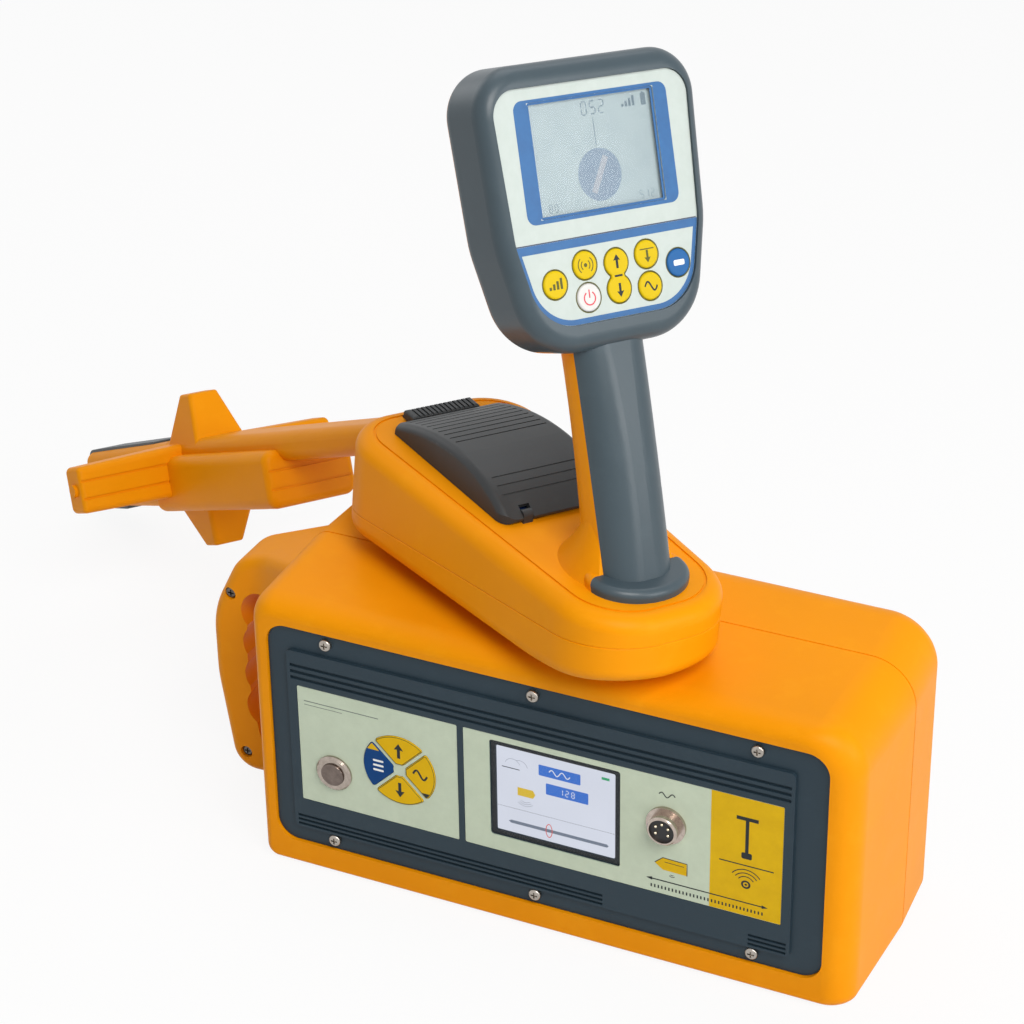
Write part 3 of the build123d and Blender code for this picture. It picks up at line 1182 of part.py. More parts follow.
def arm_section(y, length, thickness):
    front = ARM_X - ARM_L / 2
    plane = Plane(origin=(front + length / 2, y, ARM_TOP - ARM_T / 2), x_dir=(1, 0, 0), z_dir=(0, 1, 0))
    return plane * RectangleRounded(length, thickness, 4)


def wing(z_base, z_tip):
    base = Plane(origin=(WING_X, 0, z_base)) * RectangleRounded(WING_BASE_L, WING_BASE_W, 3)
    tip = Plane(origin=(WING_X, 0, z_tip)) * RectangleRounded(WING_TIP_L, WING_TIP_W, 3)
    solid = loft([base, tip])
    end = solid.edges().group_by(Axis.Z)[-1 if z_tip > z_base else 0]
    return fillet(end, 2)


def spine(grow):
    root = section_x(-ROOT_DEPTH, SPINE_W + 2 * grow, SPINE_TOP + grow, SPINE_T + 2 * grow, 7)
    end = section_x(BLOCK_FROM + BLOCK_L, SPINE_W - 6 + 2 * grow, SPINE_TOP - 3 + grow, SPINE_T + 2 * grow, 7)
    return loft([root, end])


aerial_block = extrude(section_x(BLOCK_FROM, BLOCK_W, BLOCK_TOP, BLOCK_T, 7), amount=BLOCK_L)
aerial_block = fillet(aerial_block.edges().group_by(Axis.X)[0], 5)
aerial_block = fillet(aerial_block.edges().group_by(Axis.X)[-1], 5)
tip_bar = loft([
    section_x(BLOCK_END - 10, TIP_W + 4, SPINE_TOP - 3.5, TIP_T + 4, 7),
    section_x(BLADE_L, TIP_W, TIP_TOP, TIP_T - 2, 7),
])
tip_bar = fillet(tip_bar.edges().group_by(Axis.X)[-1], 6)
arms = loft([arm_section(-ARM_SPAN / 2, ARM_L - 5, ARM_T - 4), arm_section(0, ARM_L + 1, ARM_T)])
arms += loft([arm_section(0, ARM_L + 1, ARM_T), arm_section(ARM_SPAN / 2, ARM_L - 5, ARM_T - 4)])
arms = fillet(arms.edges().group_by(Axis.Y)[0] + arms.edges().group_by(Axis.Y)[-1], 3)
arm_mid = ARM_TOP - ARM_T / 2
for side in (-1, 1):
    y_end = side * (ARM_SPAN / 2 - 1)
    arms += rod_y(ARM_X - 3, arm_mid, 8, min(y_end, y_end + side * 3), max(y_end, y_end + side * 3))
    for rise in (-BLADE_GROOVE_RISE / 2, BLADE_GROOVE_RISE / 2):
        groove_z = arm_mid + rise
        front = ARM_X - ARM_L / 2
        y0 = min(side * BLOCK_W / 2, side * ARM_SPAN / 2)
        y1 = max(side * BLOCK_W / 2, side * ARM_SPAN / 2)
        arms -= block(front - 1, front + BLADE_GROOVE, y0 - 1, y1 + 1, groove_z - 0.8, groove_z + 0.8)
wing_high = SPINE_TOP + WING_REACH
wing_low = BLOCK_LOW - WING_REACH
blade_form = spine(0) + aerial_block + tip_bar + arms
blade_form += wing(SPINE_TOP - 8, wing_high)
blade_form += wing(BLOCK_LOW + 6, wing_low)
for rise in (-BLADE_GROOVE_RISE / 2, BLADE_GROOVE_RISE / 2):
    groove_z = BLOCK_TOP - BLOCK_T / 2 + rise
    groove_x1 = BLOCK_FROM + BLADE_GROOVE
    blade_form -= block(BLOCK_FROM - 1, groove_x1, -BLOCK_W, BLOCK_W, groove_z - 0.8, groove_z + 0.8)

# Tip guard, wrapped round the end of the blade
guard_x0 = BLADE_L - GUARD_TOP_L
guard_x1 = BLADE_L - GUARD_LOW_L
guard_end = BLADE_L + 2.5
guard_top = TIP_TOP + 1.5
guard_low = TIP_TOP - TIP_T + 2 - 1.5
guard_outline = rounded_polygon(
    (guard_x0, guard_top + 3, 1),
    (guard_end, guard_top, 9),
    (guard_end, guard_low, 11),
    (guard_x1, guard_low - 1.3, 1),
    (guard_x1, guard_low - 1.3 + GUARD_T, 1),
    (guard_end - GUARD_T, guard_low + GUARD_T, 6),
    (guard_end - GUARD_T, guard_top - GUARD_T, 4),
    (guard_x0, guard_top + 3 - GUARD_T, 1),
)
guard = slab(guard_outline, -GUARD_W / 2, GUARD_W / 2)
blade_form -= guard
tip_guard = blade_frame * guard

# Aerial rods with their windings, lying in the blade's split
lateral_y = ARM_SPAN / 2 - 12
lateral_rod = rod_y(ARM_X, BLADE_SPLIT, ROD_D, -lateral_y, lateral_y)
vertical_x = ARM_X - ROD_D / 2 - WINDING_D / 2 - 2
vertical_rod = rod_z(vertical_x, 0, ROD_D, wing_low + 7, wing_high - 7)
lateral_room = [rod_y(ARM_X, BLADE_SPLIT, WINDING_D, y, y + 30) for y in (-66, 36)]
vertical_room = rod_z(vertical_x, 0, WINDING_D, SPINE_TOP - 14, SPINE_TOP + 4)
rod_bore = ROD_D + 2 * SCREW_CLEAR
lateral_windings = Part() + lateral_room - rod_y(ARM_X, BLADE_SPLIT, rod_bore, -lateral_y, lateral_y)
vertical_winding = vertical_room - rod_z(vertical_x, 0, rod_bore, wing_low, wing_high)
blade_form -= rod_y(ARM_X, BLADE_SPLIT, ROD_D + 2 * ROD_CLEAR, -lateral_y - 0.3, lateral_y + 0.3)
blade_form -= rod_z(vertical_x, 0, ROD_D + 2 * ROD_CLEAR, wing_low + 6.7, wing_high - 6.7)
for y in (-66, 36):
    blade_form -= rod_y(ARM_X, BLADE_SPLIT, WINDING_D + 2 * ROD_CLEAR, y - 0.3, y + 30.3)
blade_form -= rod_z(vertical_x, 0, WINDING_D + 2 * ROD_CLEAR, SPINE_TOP - 14.3, SPINE_TOP + 4.3)

# Upper and lower shells of the blade, screwed together from below
blade_split = Plane(origin=(0, 0, BLADE_SPLIT))
blade_upper = split(blade_form, blade_split, keep=Keep.TOP)
blade_lower = split(blade_form, blade_split, keep=Keep.BOTTOM)
blade_screw_pairs = ((BLOCK_FROM + 14, 22), (BLOCK_FROM + 98, 22), (BLOCK_END + 8, 12))
blade_screw_places = [(x, side * y) for x, y in blade_screw_pairs for side in (-1, 1)]
blade_screw_seat = BLOCK_LOW + SCREW_HEAD_T + 1.4
for x, y in blade_screw_places:
    blade_lower -= rod_z(x, y, HEAD_HOLE_D, BLOCK_LOW - 5, blade_screw_seat)
    blade_lower -= rod_z(x, y, PASS_HOLE_D, BLOCK_LOW, BLADE_SPLIT + 1)
    blade_upper -= rod_z(x, y, SCREW_HOLE_D, BLADE_SPLIT - 1, blade_screw_seat + RX_SCREW_L + 1)
    receiver_screws += blade_frame * (facing(x, y, blade_screw_seat, (0, 0, -1)) * screw(RX_SCREW_L))
receiver_upper_shell -= blade_frame * spine(ROOT_CLEAR)

receiver = {
    "receiver_lower_shell": receiver_lower_shell,
    "receiver_upper_shell": receiver_upper_shell,
    "receiver_screws": receiver_screws,
    "receiver_battery": receiver_battery,
    "battery_cover": battery_cover,
    "hinge_ears": hinge_ears,
    "hinge_pin": hinge_pin,
    "cover_latch": cover_latch,
    "grip_front": grip_front,
    "grip_rear": grip_rear,
    "receiver_faceplate": receiver_faceplate,
    "receiver_window": receiver_window,
    "receiver_display": receiver_display,
    "receiver_board": receiver_board,
    "blade_upper_shell": blade_frame * blade_upper,
    "blade_lower_shell": blade_frame * blade_lower,
    "tip_guard": tip_guard,
    "lateral_rod": blade_frame * lateral_rod,
    "lateral_windings": blade_frame * lateral_windings,
    "vertical_rod": blade_frame * vertical_rod,
    "vertical_winding": blade_frame * vertical_winding,
    **receiver_keys,
}

# Write one file for each node, with the receiver laid on the transmitter
os.makedirs("parts", exist_ok=True)
for name, shape in transmitter.items():
    export_step(shape, "parts/" + name + ".step")
for name, shape in receiver.items():
    export_step(rx_frame * shape, "parts/" + name + ".step")
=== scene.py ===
import math
import bmesh
import bpy
from mathutils import Matrix, Vector
from mathutils.geometry import convex_hull_2d


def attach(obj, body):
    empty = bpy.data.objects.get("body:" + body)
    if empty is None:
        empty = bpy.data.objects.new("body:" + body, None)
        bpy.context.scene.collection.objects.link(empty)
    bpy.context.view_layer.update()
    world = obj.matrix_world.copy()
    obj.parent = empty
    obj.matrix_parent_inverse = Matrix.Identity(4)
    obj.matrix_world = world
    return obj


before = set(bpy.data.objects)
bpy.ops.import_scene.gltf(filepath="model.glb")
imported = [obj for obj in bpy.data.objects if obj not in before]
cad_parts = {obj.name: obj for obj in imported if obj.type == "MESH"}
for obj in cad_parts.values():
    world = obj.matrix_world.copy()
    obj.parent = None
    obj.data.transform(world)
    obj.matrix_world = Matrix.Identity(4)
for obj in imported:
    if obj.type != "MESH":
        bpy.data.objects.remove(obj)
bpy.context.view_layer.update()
scene = bpy.context.scene
scene.view_settings.view_transform = "Standard"

# Camera and studio.
# A long lens looks down at the front panel and the right end. Four large soft lamps stand round a white
# sweep. The sweep and the room are white to the camera, in gloss and through glass; the sweep takes a shadow.
LENS_MM, SENSOR_MM = 105.47, 36.0
CAMERA_PLACE = (0.54805, -1.24536, 0.99799)
CAMERA_RIGHT = (0.9054, 0.42435, -0.01331)
CAMERA_UP = (-0.19896, 0.45177, 0.86966)
CAMERA_BACK = (0.37506, -0.78475, 0.49346)
LAMP_AIM = Vector((0, 0, 0.15))
ROOM_LIGHT, WHITE_LIGHT = 0.25, 1.0
FLOOR_HALF, FLOOR_WHITE_SHARE = 6.0, 0.9
lens = bpy.data.cameras.new("photo_camera")
lens.sensor_width = SENSOR_MM
lens.lens = LENS_MM
camera = bpy.data.objects.new("photo_camera", lens)
scene.collection.objects.link(camera)
facing = Matrix((CAMERA_RIGHT, CAMERA_UP, CAMERA_BACK)).transposed().to_4x4()
camera.matrix_world = Matrix.Translation(CAMERA_PLACE) @ facing
scene.camera = camera


def linear(code):
    """Linear colour from an sRGB hex value."""
    parts = [int(code[i:i + 2], 16) / 255 for i in (1, 3, 5)]
    return [p / 12.92 if p <= 0.04045 else ((p + 0.055) / 1.055) ** 2.4 for p in parts] + [1.0]


def add(tree, kind, inputs=None, **settings):
    """One node with its settings; an input that is a socket is linked, any other is set."""
    made = tree.nodes.new(kind)
    for name, value in settings.items():
        setattr(made, name, value)
    for name, value in (inputs or {}).items():
        if isinstance(value, bpy.types.NodeSocket):
            tree.links.new(value, made.inputs[name])
        else:
            made.inputs[name].default_value = value
    return made


for name, place, size, watts, colour in (
    ("key_softbox", (1.3, -1.3, 2.2), 1.3, 53.0, "#FFFCF8"),
    ("side_softbox", (2.1, -0.2, 0.9), 1.0, 18.0, "#FFFFFF"),
    ("back_softbox", (-0.3, 1.0, 2.2), 1.4, 12.0, "#F8FBFF"),
    ("left_softbox", (-1.9, 0.5, 1.3), 1.3, 7.0, "#FFFFFF"),
):
    lamp = bpy.data.lights.new(name, "AREA")
    lamp.size = size
    lamp.energy = watts
    lamp.color = linear(colour)[:3]
    stand = bpy.data.objects.new(name, lamp)
    facing = (LAMP_AIM - Vector(place)).to_track_quat("-Z", "Y").to_matrix().to_4x4()
    stand.matrix_world = Matrix.Translation(place) @ facing
    scene.collection.objects.link(stand)


def background_rays(tree):
    """One for a ray that shows the background: the camera's own, one from gloss and one through glass."""
    path = add(tree, "ShaderNodeLightPath").outputs
    direct = add(tree, "ShaderNodeMath", {0: path["Is Camera Ray"], 1: path["Is Transmission Ray"]},
                 operation="MAXIMUM")
    shown = add(tree, "ShaderNodeMath", {0: direct.outputs[0], 1: path["Is Glossy Ray"]}, operation="MAXIMUM")
    return shown.outputs[0]


sky = bpy.data.worlds.new("studio_white")
sky.use_nodes = True
tree = sky.node_tree
tree.nodes.clear()
room = add(tree, "ShaderNodeBackground", {"Color": linear("#FFFFFF"), "Strength": ROOM_LIGHT})
white = add(tree, "ShaderNodeBackground", {"Color": linear("#FFFFFF"), "Strength": WHITE_LIGHT})
both = add(tree, "ShaderNodeMixShader", {0: background_rays(tree), 1: room.outputs[0], 2: white.outputs[0]})
add(tree, "ShaderNodeOutputWorld", {"Surface": both.outputs[0]})
scene.world = sky

sweep = bmesh.new()
bmesh.ops.create_grid(sweep, x_segments=1, y_segments=1, size=FLOOR_HALF)
floor_mesh = bpy.data.meshes.new("studio_floor")
sweep.to_mesh(floor_mesh)
sweep.free()
studio_floor = bpy.data.objects.new("studio_floor", floor_mesh)
scene.collection.objects.link(studio_floor)
# White paper: matt, with most of what is seen of it plain white and the rest shaded by the object.
paper = bpy.data.materials.new("white_sweep_paper")
paper.use_nodes = True
tree = paper.node_tree
tree.nodes.clear()
matt = add(tree, "ShaderNodeBsdfDiffuse", {"Color": linear("#E8E8E8")})
glow = add(tree, "ShaderNodeEmission", {"Color": linear("#FFFFFF"), "Strength": WHITE_LIGHT})
share = add(tree, "ShaderNodeMath", {0: background_rays(tree), 1: FLOOR_WHITE_SHARE}, operation="MULTIPLY")
mixed = add(tree, "ShaderNodeMixShader", {0: share.outputs[0], 1: matt.outputs[0], 2: glow.outputs[0]})
add(tree, "ShaderNodeOutputMaterial", {"Surface": mixed.outputs[0]})
floor_mesh.materials.append(paper)

# Case shells and carry handle of the transmitter, body shells, rear grip half and blade of the receiver.
# Injection-moulded ABS, dyed right through and spark-textured in the mould; the shells are screwed together.
MM = 0.001
DYE_CLOUD, RUB_PATCH, GRAIN_DEPTH, DEEP_DYE = 70.0, 24.0, 0.12, 0.88


def surface(name, **constants):
    """A material with one main shader: its constants on the sockets, and the piece's own coordinates."""
    made = bpy.data.materials.new(name)
    made.use_nodes = True
    tree = made.node_tree
    tree.nodes.clear()
    shader = add(tree, "ShaderNodeBsdfPrincipled", {k.replace("_", " "): v for k, v in constants.items()})
    add(tree, "ShaderNodeOutputMaterial", {"Surface": shader.outputs[0]})
    spots = add(tree, "ShaderNodeTexCoord").outputs["Object"]
    return made, tree, shader, spots


def moulded(name, code, worn, grain, rough, bump, handled=0.35, **constants):
    """Moulded plastic or rubber: cloudy dye, rubbed patches, a grain in the surface and uneven gloss."""
    made, tree, shader, spots = surface(name, **constants)
    clouds = add(tree, "ShaderNodeTexNoise", {"Vector": spots, "Scale": 1 / (DYE_CLOUD * MM), "Detail": 3.0})
    patches = add(tree, "ShaderNodeTexNoise", {"Vector": spots, "Scale": 1 / (RUB_PATCH * MM), "Detail": 8.0,
                                               "Roughness": 0.72})
    rubbed = add(tree, "ShaderNodeMapRange", {"Value": patches.outputs[0], "From Min": 0.52, "From Max": 0.78,
                                              "To Max": handled})
    deep = [DEEP_DYE * c for c in linear(code)[:3]] + [1.0]
    dye = add(tree, "ShaderNodeMix", {0: clouds.outputs[0], 6: deep, 7: linear(code)}, data_type="RGBA")
    tint = add(tree, "ShaderNodeMix", {0: rubbed.outputs[0], 6: dye.outputs[2], 7: linear(worn)},
               data_type="RGBA")
    tree.links.new(tint.outputs[2], shader.inputs["Base Color"])
    gloss = add(tree, "ShaderNodeMapRange", {"Value": patches.outputs[0], "To Min": rough - 0.07,
                                             "To Max": rough + 0.09})
    tree.links.new(gloss.outputs[0], shader.inputs["Roughness"])
    sparks = add(tree, "ShaderNodeTexNoise", {"Vector": spots, "Scale": 1 / (grain * MM), "Detail": 2.0})
    relief = add(tree, "ShaderNodeBump", {"Height": sparks.outputs[0], "Strength": bump,
                                          "Distance": GRAIN_DEPTH * MM})
    tree.links.new(relief.outputs[0], shader.inputs["Normal"])
    return made


def finish_cad(coat, *names):
    """Gives CAD nodes their finish."""
    for name in names:
        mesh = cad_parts[name].data
        mesh.materials.clear()
        mesh.materials.append(coat)


# Orange ABS: strong warm orange with a soft satin sheen, slightly cloudy, paler where it is rubbed.
# The mould's grain is 0.3 mm; on all the mouldings it is drawn at 0.7 to 1.1 mm, so that it shows.
orange_abs = moulded("orange_abs", "#F29804", "#F4A51A", grain=1.1, rough=0.42, bump=0.16,
                     IOR=1.53, Specular_IOR_Level=0.08)
finish_cad(orange_abs, "front_case", "rear_case", "carry_handle_front", "carry_handle_rear",
           "receiver_lower_shell", "receiver_upper_shell", "grip_rear",
           "blade_upper_shell", "blade_lower_shell")

# Seal between the case shells and gasket under the front panel.
# Moulded silicone rubber, laid in a groove of the case and under the panel's edge, squeezed by the screws.
# Black silicone: dull and nearly black; it shows as a thin dark line where the two shells meet.
seal_rubber = moulded("black_silicone_cord", "#1B1D1F", "#2A2C2E", grain=0.8, rough=0.7, bump=0.1, IOR=1.43)
finish_cad(seal_rubber, "case_seal", "panel_gasket")

# Screws of the case, panel, handle and receiver, and the hinge pin of the battery cover.
# Cold-headed steel screws with a cross recess, and a pin of drawn steel; plated against rust.
TOOL_SWIRL = 1.5


def plated_steel(name, deep, bright):
    """Plated steel: grey metal, faintly brushed by the tool that drove it."""
    made, tree, shader, spots = surface(name, Metallic=1.0)
    swirl = add(tree, "ShaderNodeTexNoise", {"Vector": spots, "Scale": 1 / (TOOL_SWIRL * MM), "Detail": 4.0})
    shade = add(tree, "ShaderNodeValToRGB", {"Fac": swirl.outputs[0]})
    shade.color_ramp.elements[0].color = linear(deep)
    shade.color_ramp.elements[1].color = linear(bright)
    gloss = add(tree, "ShaderNodeMapRange", {"Value": swirl.outputs[0], "To Min": 0.2, "To Max": 0.42})
    tree.links.new(shade.outputs[0], shader.inputs["Base Color"])
    tree.links.new(gloss.outputs[0], shader.inputs["Roughness"])
    return made


# Zinc plate is pale grey; the handle's screws get the same plated steel drawn darker, a painted shade of the
# recesses they sit in.
zinc_plate = plated_steel("zinc_plated_steel", deep="#8E877F", bright="#C2BBB2")
finish_cad(zinc_plate, "case_screws", "panel_screws", "receiver_screws", "hinge_pin")
recess_shaded_plate = plated_steel("steel_with_painted_shade", deep="#453F3B", bright="#78716B")
finish_cad(recess_shaded_plate, "handle_screws")

# Front panel of the transmitter.
# An ABS moulding with a raised field and groups of grooves, held by six screws.
# Slate ABS: dark blue-grey, with a duller sheen than the case.
slate_abs = moulded("slate_abs", "#293A45", "#364751", grain=1.0, rough=0.46, bump=0.14,
                    IOR=1.53, Specular_IOR_Level=0.24)
finish_cad(slate_abs, "front_panel")

# Labels on the panel.
# Printed polycarbonate film with a fine velvet face, glued in two shallow recesses.
LABEL_FACE, INK_LIFT, TOP_INK_LIFT, PRINT_THICK = -67.8, 0.02, 0.06, 0.03
PRINT_MOTTLE, VELVET, VELVET_DEPTH = 9.0, 0.9, 0.05
MERGE_WITHIN, CORNER_STEPS, WAVE_STEPS = 1e-7, 6, 40


def film(name, code, shaded, rough, **constants):
    """Printed film or ink: a faint mottle from the printing screen and a slightly uneven gloss.

    The velvet of the face is 0.2 mm fine and is drawn at 0.9 mm, so that it shows.
    """
    made, tree, shader, spots = surface(name, **constants)
    mottle = add(tree, "ShaderNodeTexNoise", {"Vector": spots, "Scale": 1 / (PRINT_MOTTLE * MM),
                                              "Detail": 6.0, "Roughness": 0.65})
    tint = add(tree, "ShaderNodeValToRGB", {"Fac": mottle.outputs[0]})
    low, high = tint.color_ramp.elements
    low.position, low.color = 0.3, linear(shaded)
    high.position, high.color = 0.7, linear(code)
    gloss = add(tree, "ShaderNodeMapRange", {"Value": mottle.outputs[0], "To Min": rough - 0.05,
                                             "To Max": rough + 0.07})
    velvet = add(tree, "ShaderNodeTexNoise", {"Vector": spots, "Scale": 1 / (VELVET * MM), "Detail": 1.0})
    relief = add(tree, "ShaderNodeBump", {"Height": velvet.outputs[0], "Strength": 0.05,
                                          "Distance": VELVET_DEPTH * MM})
    tree.links.new(tint.outputs[0], shader.inputs["Base Color"])
    tree.links.new(gloss.outputs[0], shader.inputs["Roughness"])
    tree.links.new(relief.outputs[0], shader.inputs["Normal"])
    return made


def printed(name, outlines, place, ink, body):
    """Flat print from closed outlines in millimetres; an outline inside another one is a hole in it."""
    drawn = bpy.data.curves.new(name, "CURVE")
    drawn.dimensions = "2D"
    drawn.fill_mode = "BOTH"
    drawn.extrude = PRINT_THICK / 2 * MM
    for points in outlines:
        line = drawn.splines.new("POLY")
        line.points.add(len(points) - 1)
        for spot, (u, v) in zip(line.points, points):
            spot.co = (u * MM, v * MM, 0, 1)
        line.use_cyclic_u = True
    holder = bpy.data.objects.new(name + "_outline", drawn)
    mesh = bpy.data.meshes.new_from_object(holder)
    bpy.data.objects.remove(holder)
    bpy.data.curves.remove(drawn)
    solid = bmesh.new()
    solid.from_mesh(mesh)
    bmesh.ops.remove_doubles(solid, verts=solid.verts, dist=MERGE_WITHIN)
    bmesh.ops.recalc_face_normals(solid, faces=solid.faces)
    bmesh.ops.transform(solid, matrix=place, verts=solid.verts)
    solid.to_mesh(mesh)
    solid.free()
    mesh.name = name
    mesh.materials.clear()
    mesh.materials.append(ink)
    piece = bpy.data.objects.new(name, mesh)
    scene.collection.objects.link(piece)
    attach(piece, body)


def oval(u, v, a, b, count=48):
    """Oval about a centre, from its two half widths."""
    turns = [2 * math.pi * i / count for i in range(count)]
    return [(u + a * math.cos(t), v + b * math.sin(t)) for t in turns]


def bow(u, v, r, start, end, count=14):
    """Points of an arc, angles in degrees."""
    turns = [math.radians(start + (end - start) * i / count) for i in range(count + 1)]
    return [(u + r * math.cos(t), v + r * math.sin(t)) for t in turns]


def sheet(u0, u1, v0, v1, r=0.0):
    """Rectangle from its left, right, bottom and top, rounded where a radius is given."""
    if not r:
        return [(u0, v0), (u1, v0), (u1, v1), (u0, v1)]
    corners = ((u1 - r, v1 - r, 0), (u0 + r, v1 - r, 90), (u0 + r, v0 + r, 180), (u1 - r, v0 + r, 270))
    return [spot for u, v, turn in corners for spot in bow(u, v, r, turn, turn + 90, CORNER_STEPS)]


def stroke(points, width):
    """Outline of a drawn line of even width through the given points."""
    sides = ([], [])
    for i, (u, v) in enumerate(points):
        before, after = points[max(i - 1, 0)], points[min(i + 1, len(points) - 1)]
        run = math.hypot(after[0] - before[0], after[1] - before[1])
        du, dv = (after[0] - before[0]) / run * width / 2, (after[1] - before[1]) / run * width / 2
        sides[0].append((u - dv, v + du))
        sides[1].append((u + dv, v - du))
    return sides[0] + sides[1][::-1]


def wave(u, v, length, height, turns=1.0):
    """Points of a sine wave about a centre."""
    shares = [i / WAVE_STEPS for i in range(WAVE_STEPS + 1)]
    return [(u + length * (s - 0.5), v + height * math.sin(2 * math.pi * turns * s)) for s in shares]


def arrow(u, v, long, turn=0.0):
    """Block arrow about its centre, pointing up and then turned."""
    shape = [(-0.1, -0.5), (0.1, -0.5), (0.1, 0.09), (0.3, 0.06), (0, 0.5), (-0.3, 0.06), (-0.1, 0.09)]
    c, s = math.cos(math.radians(turn)), math.sin(math.radians(turn))
    return [(u + long * (p * c - q * s), v + long * (p * s + q * c)) for p, q in shape]


def on_panel(depth):
    """Place of a print that faces out of the panel at one depth in millimetres."""
    return Matrix(((1, 0, 0, 0), (0, 0, -1, depth * MM), (0, 1, 0, 0), (0, 0, 0, 1)))


def label_print(name, outlines, lift, ink):
    """Print on the panel's label."""
    printed(name, outlines, on_panel(LABEL_FACE - lift), ink, "transmitter")


# Pale green film: a greyish sage with a dull velvet face.
green_film = film("sage_polycarbonate_film", "#C8D5BF", "#C0CDB7", rough=0.5,
                  IOR=1.58, Specular_IOR_Level=0.3)
finish_cad(green_film, "panel_label_left", "panel_label_right")
# Printing inks: even, dull and opaque.
dark_ink = film("dark_ink", "#20282B", "#191F22", rough=0.55, IOR=1.5, Specular_IOR_Level=0.3)
yellow_ink = film("yellow_ink", "#E0B602", "#D6AB00", rough=0.5, IOR=1.5, Specular_IOR_Level=0.2)
grey_ink = film("grey_ink", "#7E8A80", "#747F76", rough=0.55, IOR=1.5)
RULES = ((-141, -96, 111.4, 112.0), (-141, -118, 109.2, 109.6))
YELLOW_FIELD = (95.5, 135.1, 46.8, 120.3)
TAG = [(64.8, 65.6), (69.2, 62.2), (82.6, 61.9), (82.6, 69.2), (69.2, 69.6)]
label_print("label_rule", [sheet(*rule) for rule in RULES], INK_LIFT, grey_ink)
label_print("label_yellow_field", [sheet(*YELLOW_FIELD)], INK_LIFT, yellow_ink)
label_print("label_tag", [TAG], INK_LIFT, yellow_ink)
# Edge and sound of the tag, the double arrow under it, and a wave over the socket.
TAG_EDGE = [(64.8, 65.9), (69.2, 69.9), (82.9, 69.5), (82.9, 61.9)]
TAG_LINE = [(70.2, 67.4), (81.2, 67.2)]
SPAN_ARROW = [(60.0, 55.0), (63.4, 56.1), (63.4, 55.35), (124.6, 55.35), (124.6, 56.1), (128.0, 55.0),
              (124.6, 53.9), (124.6, 54.65), (63.4, 54.65), (63.4, 53.9)]
tag_marks = [stroke(TAG_EDGE, width=0.5), stroke(TAG_LINE, width=0.35)]
tag_sound = [stroke(bow(74.5, 61.0, r, start=225, end=315, count=8), width=0.35) for r in (1.2, 2.2)]
socket_wave = [stroke(wave(71.1, 109.6, length=9.0, height=1.3, turns=1.5), width=0.6)]
# Wand over a buried cable: a handle, a stem and its foot, the ground line, the cable and the field round it.
WAND_X, HANDLE_Z, STEM_Z, FOOT_Z, GROUND_Z, CABLE_Z = 115.5, 107.5, 106.4, 86.5, 78.5, 66.5
wand = [stroke([(WAND_X - 6.0, HANDLE_Z), (WAND_X + 6.0, HANDLE_Z)], width=2.2),
        stroke([(WAND_X, STEM_Z), (WAND_X, FOOT_Z)], width=1.9),
        sheet(WAND_X - 2.9, WAND_X + 2.9, FOOT_Z - 3.9, FOOT_Z, 1.0)]
ground = [stroke([(WAND_X - 15.0, GROUND_Z), (WAND_X + 15.0, GROUND_Z)], width=0.7)]
cable = [oval(WAND_X, CABLE_Z, r, r) for r in (2.6, 1.5, 0.7)]
field = [stroke(bow(WAND_X, CABLE_Z, r, start=35, end=145), width=0.55) for r in (5.0, 7.2, 9.4)]
label_print("label_ink", tag_marks + [SPAN_ARROW] + tag_sound + wand + ground + cable + field + socket_wave,
            TOP_INK_LIFT, dark_ink)

# Scale of ticks under the arrow line of the right label.
# The same dark ink, one short bar after another, made by a tree that sets bars along a line.
tick_row = bpy.data.node_groups.new("tick_row", "GeometryNodeTree")
for label, kind in (("Count", "NodeSocketInt"), ("Pitch", "NodeSocketFloat"), ("Width", "NodeSocketFloat"),
                    ("Height", "NodeSocketFloat"), ("Thickness", "NodeSocketFloat"),
                    ("Ink", "NodeSocketMaterial")):
    tick_row.interface.new_socket(label, in_out="INPUT", socket_type=kind)
tick_row.interface.new_socket("Ticks", in_out="OUTPUT", socket_type="NodeSocketGeometry")
given = add(tick_row, "NodeGroupInput").outputs
step = add(tick_row, "ShaderNodeCombineXYZ", {"X": given["Pitch"]})
rail = add(tick_row, "GeometryNodeMeshLine", {"Count": given["Count"], "Offset": step.outputs[0]})
size = add(tick_row, "ShaderNodeCombineXYZ", {"X": given["Width"], "Y": given["Height"],
                                              "Z": given["Thickness"]})
bar = add(tick_row, "GeometryNodeMeshCube", {"Size": size.outputs[0]})
row = add(tick_row, "GeometryNodeInstanceOnPoints", {"Points": rail.outputs[0], "Instance": bar.outputs[0]})
real = add(tick_row, "GeometryNodeRealizeInstances", {"Geometry": row.outputs[0]})
inked = add(tick_row, "GeometryNodeSetMaterial", {"Geometry": real.outputs[0], "Material": given["Ink"]})
add(tick_row, "NodeGroupOutput", {"Ticks": inked.outputs[0]})


def ticks(name, count, pitch, width, height, start, place, ink, body):
    """A row of printed bars from a starting point, sizes in millimetres."""
    base = bpy.data.objects.new(name, bpy.data.meshes.new(name))
    scene.collection.objects.link(base)
    rows = base.modifiers.new("ticks", "NODES")
    rows.node_group = tick_row
    wanted = {"Count": count, "Pitch": pitch * MM, "Width": width * MM, "Height": height * MM,
              "Thickness": PRINT_THICK * MM, "Ink": ink}
    for item in tick_row.interface.items_tree:
        if item.name in wanted:
            rows[item.identifier] = wanted[item.name]
    made = bpy.data.meshes.new_from_object(base.evaluated_get(bpy.context.evaluated_depsgraph_get()))
    base.modifiers.clear()
    made.transform(place @ Matrix.Translation((start[0] * MM, start[1] * MM, 0)))
    base.data = made
    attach(base, body)


ticks("label_scale", count=32, pitch=2.0, width=0.8, height=2.0, start=(62.9, 50.6),
      place=on_panel(LABEL_FACE - TOP_INK_LIFT), ink=dark_ink, body="transmitter")

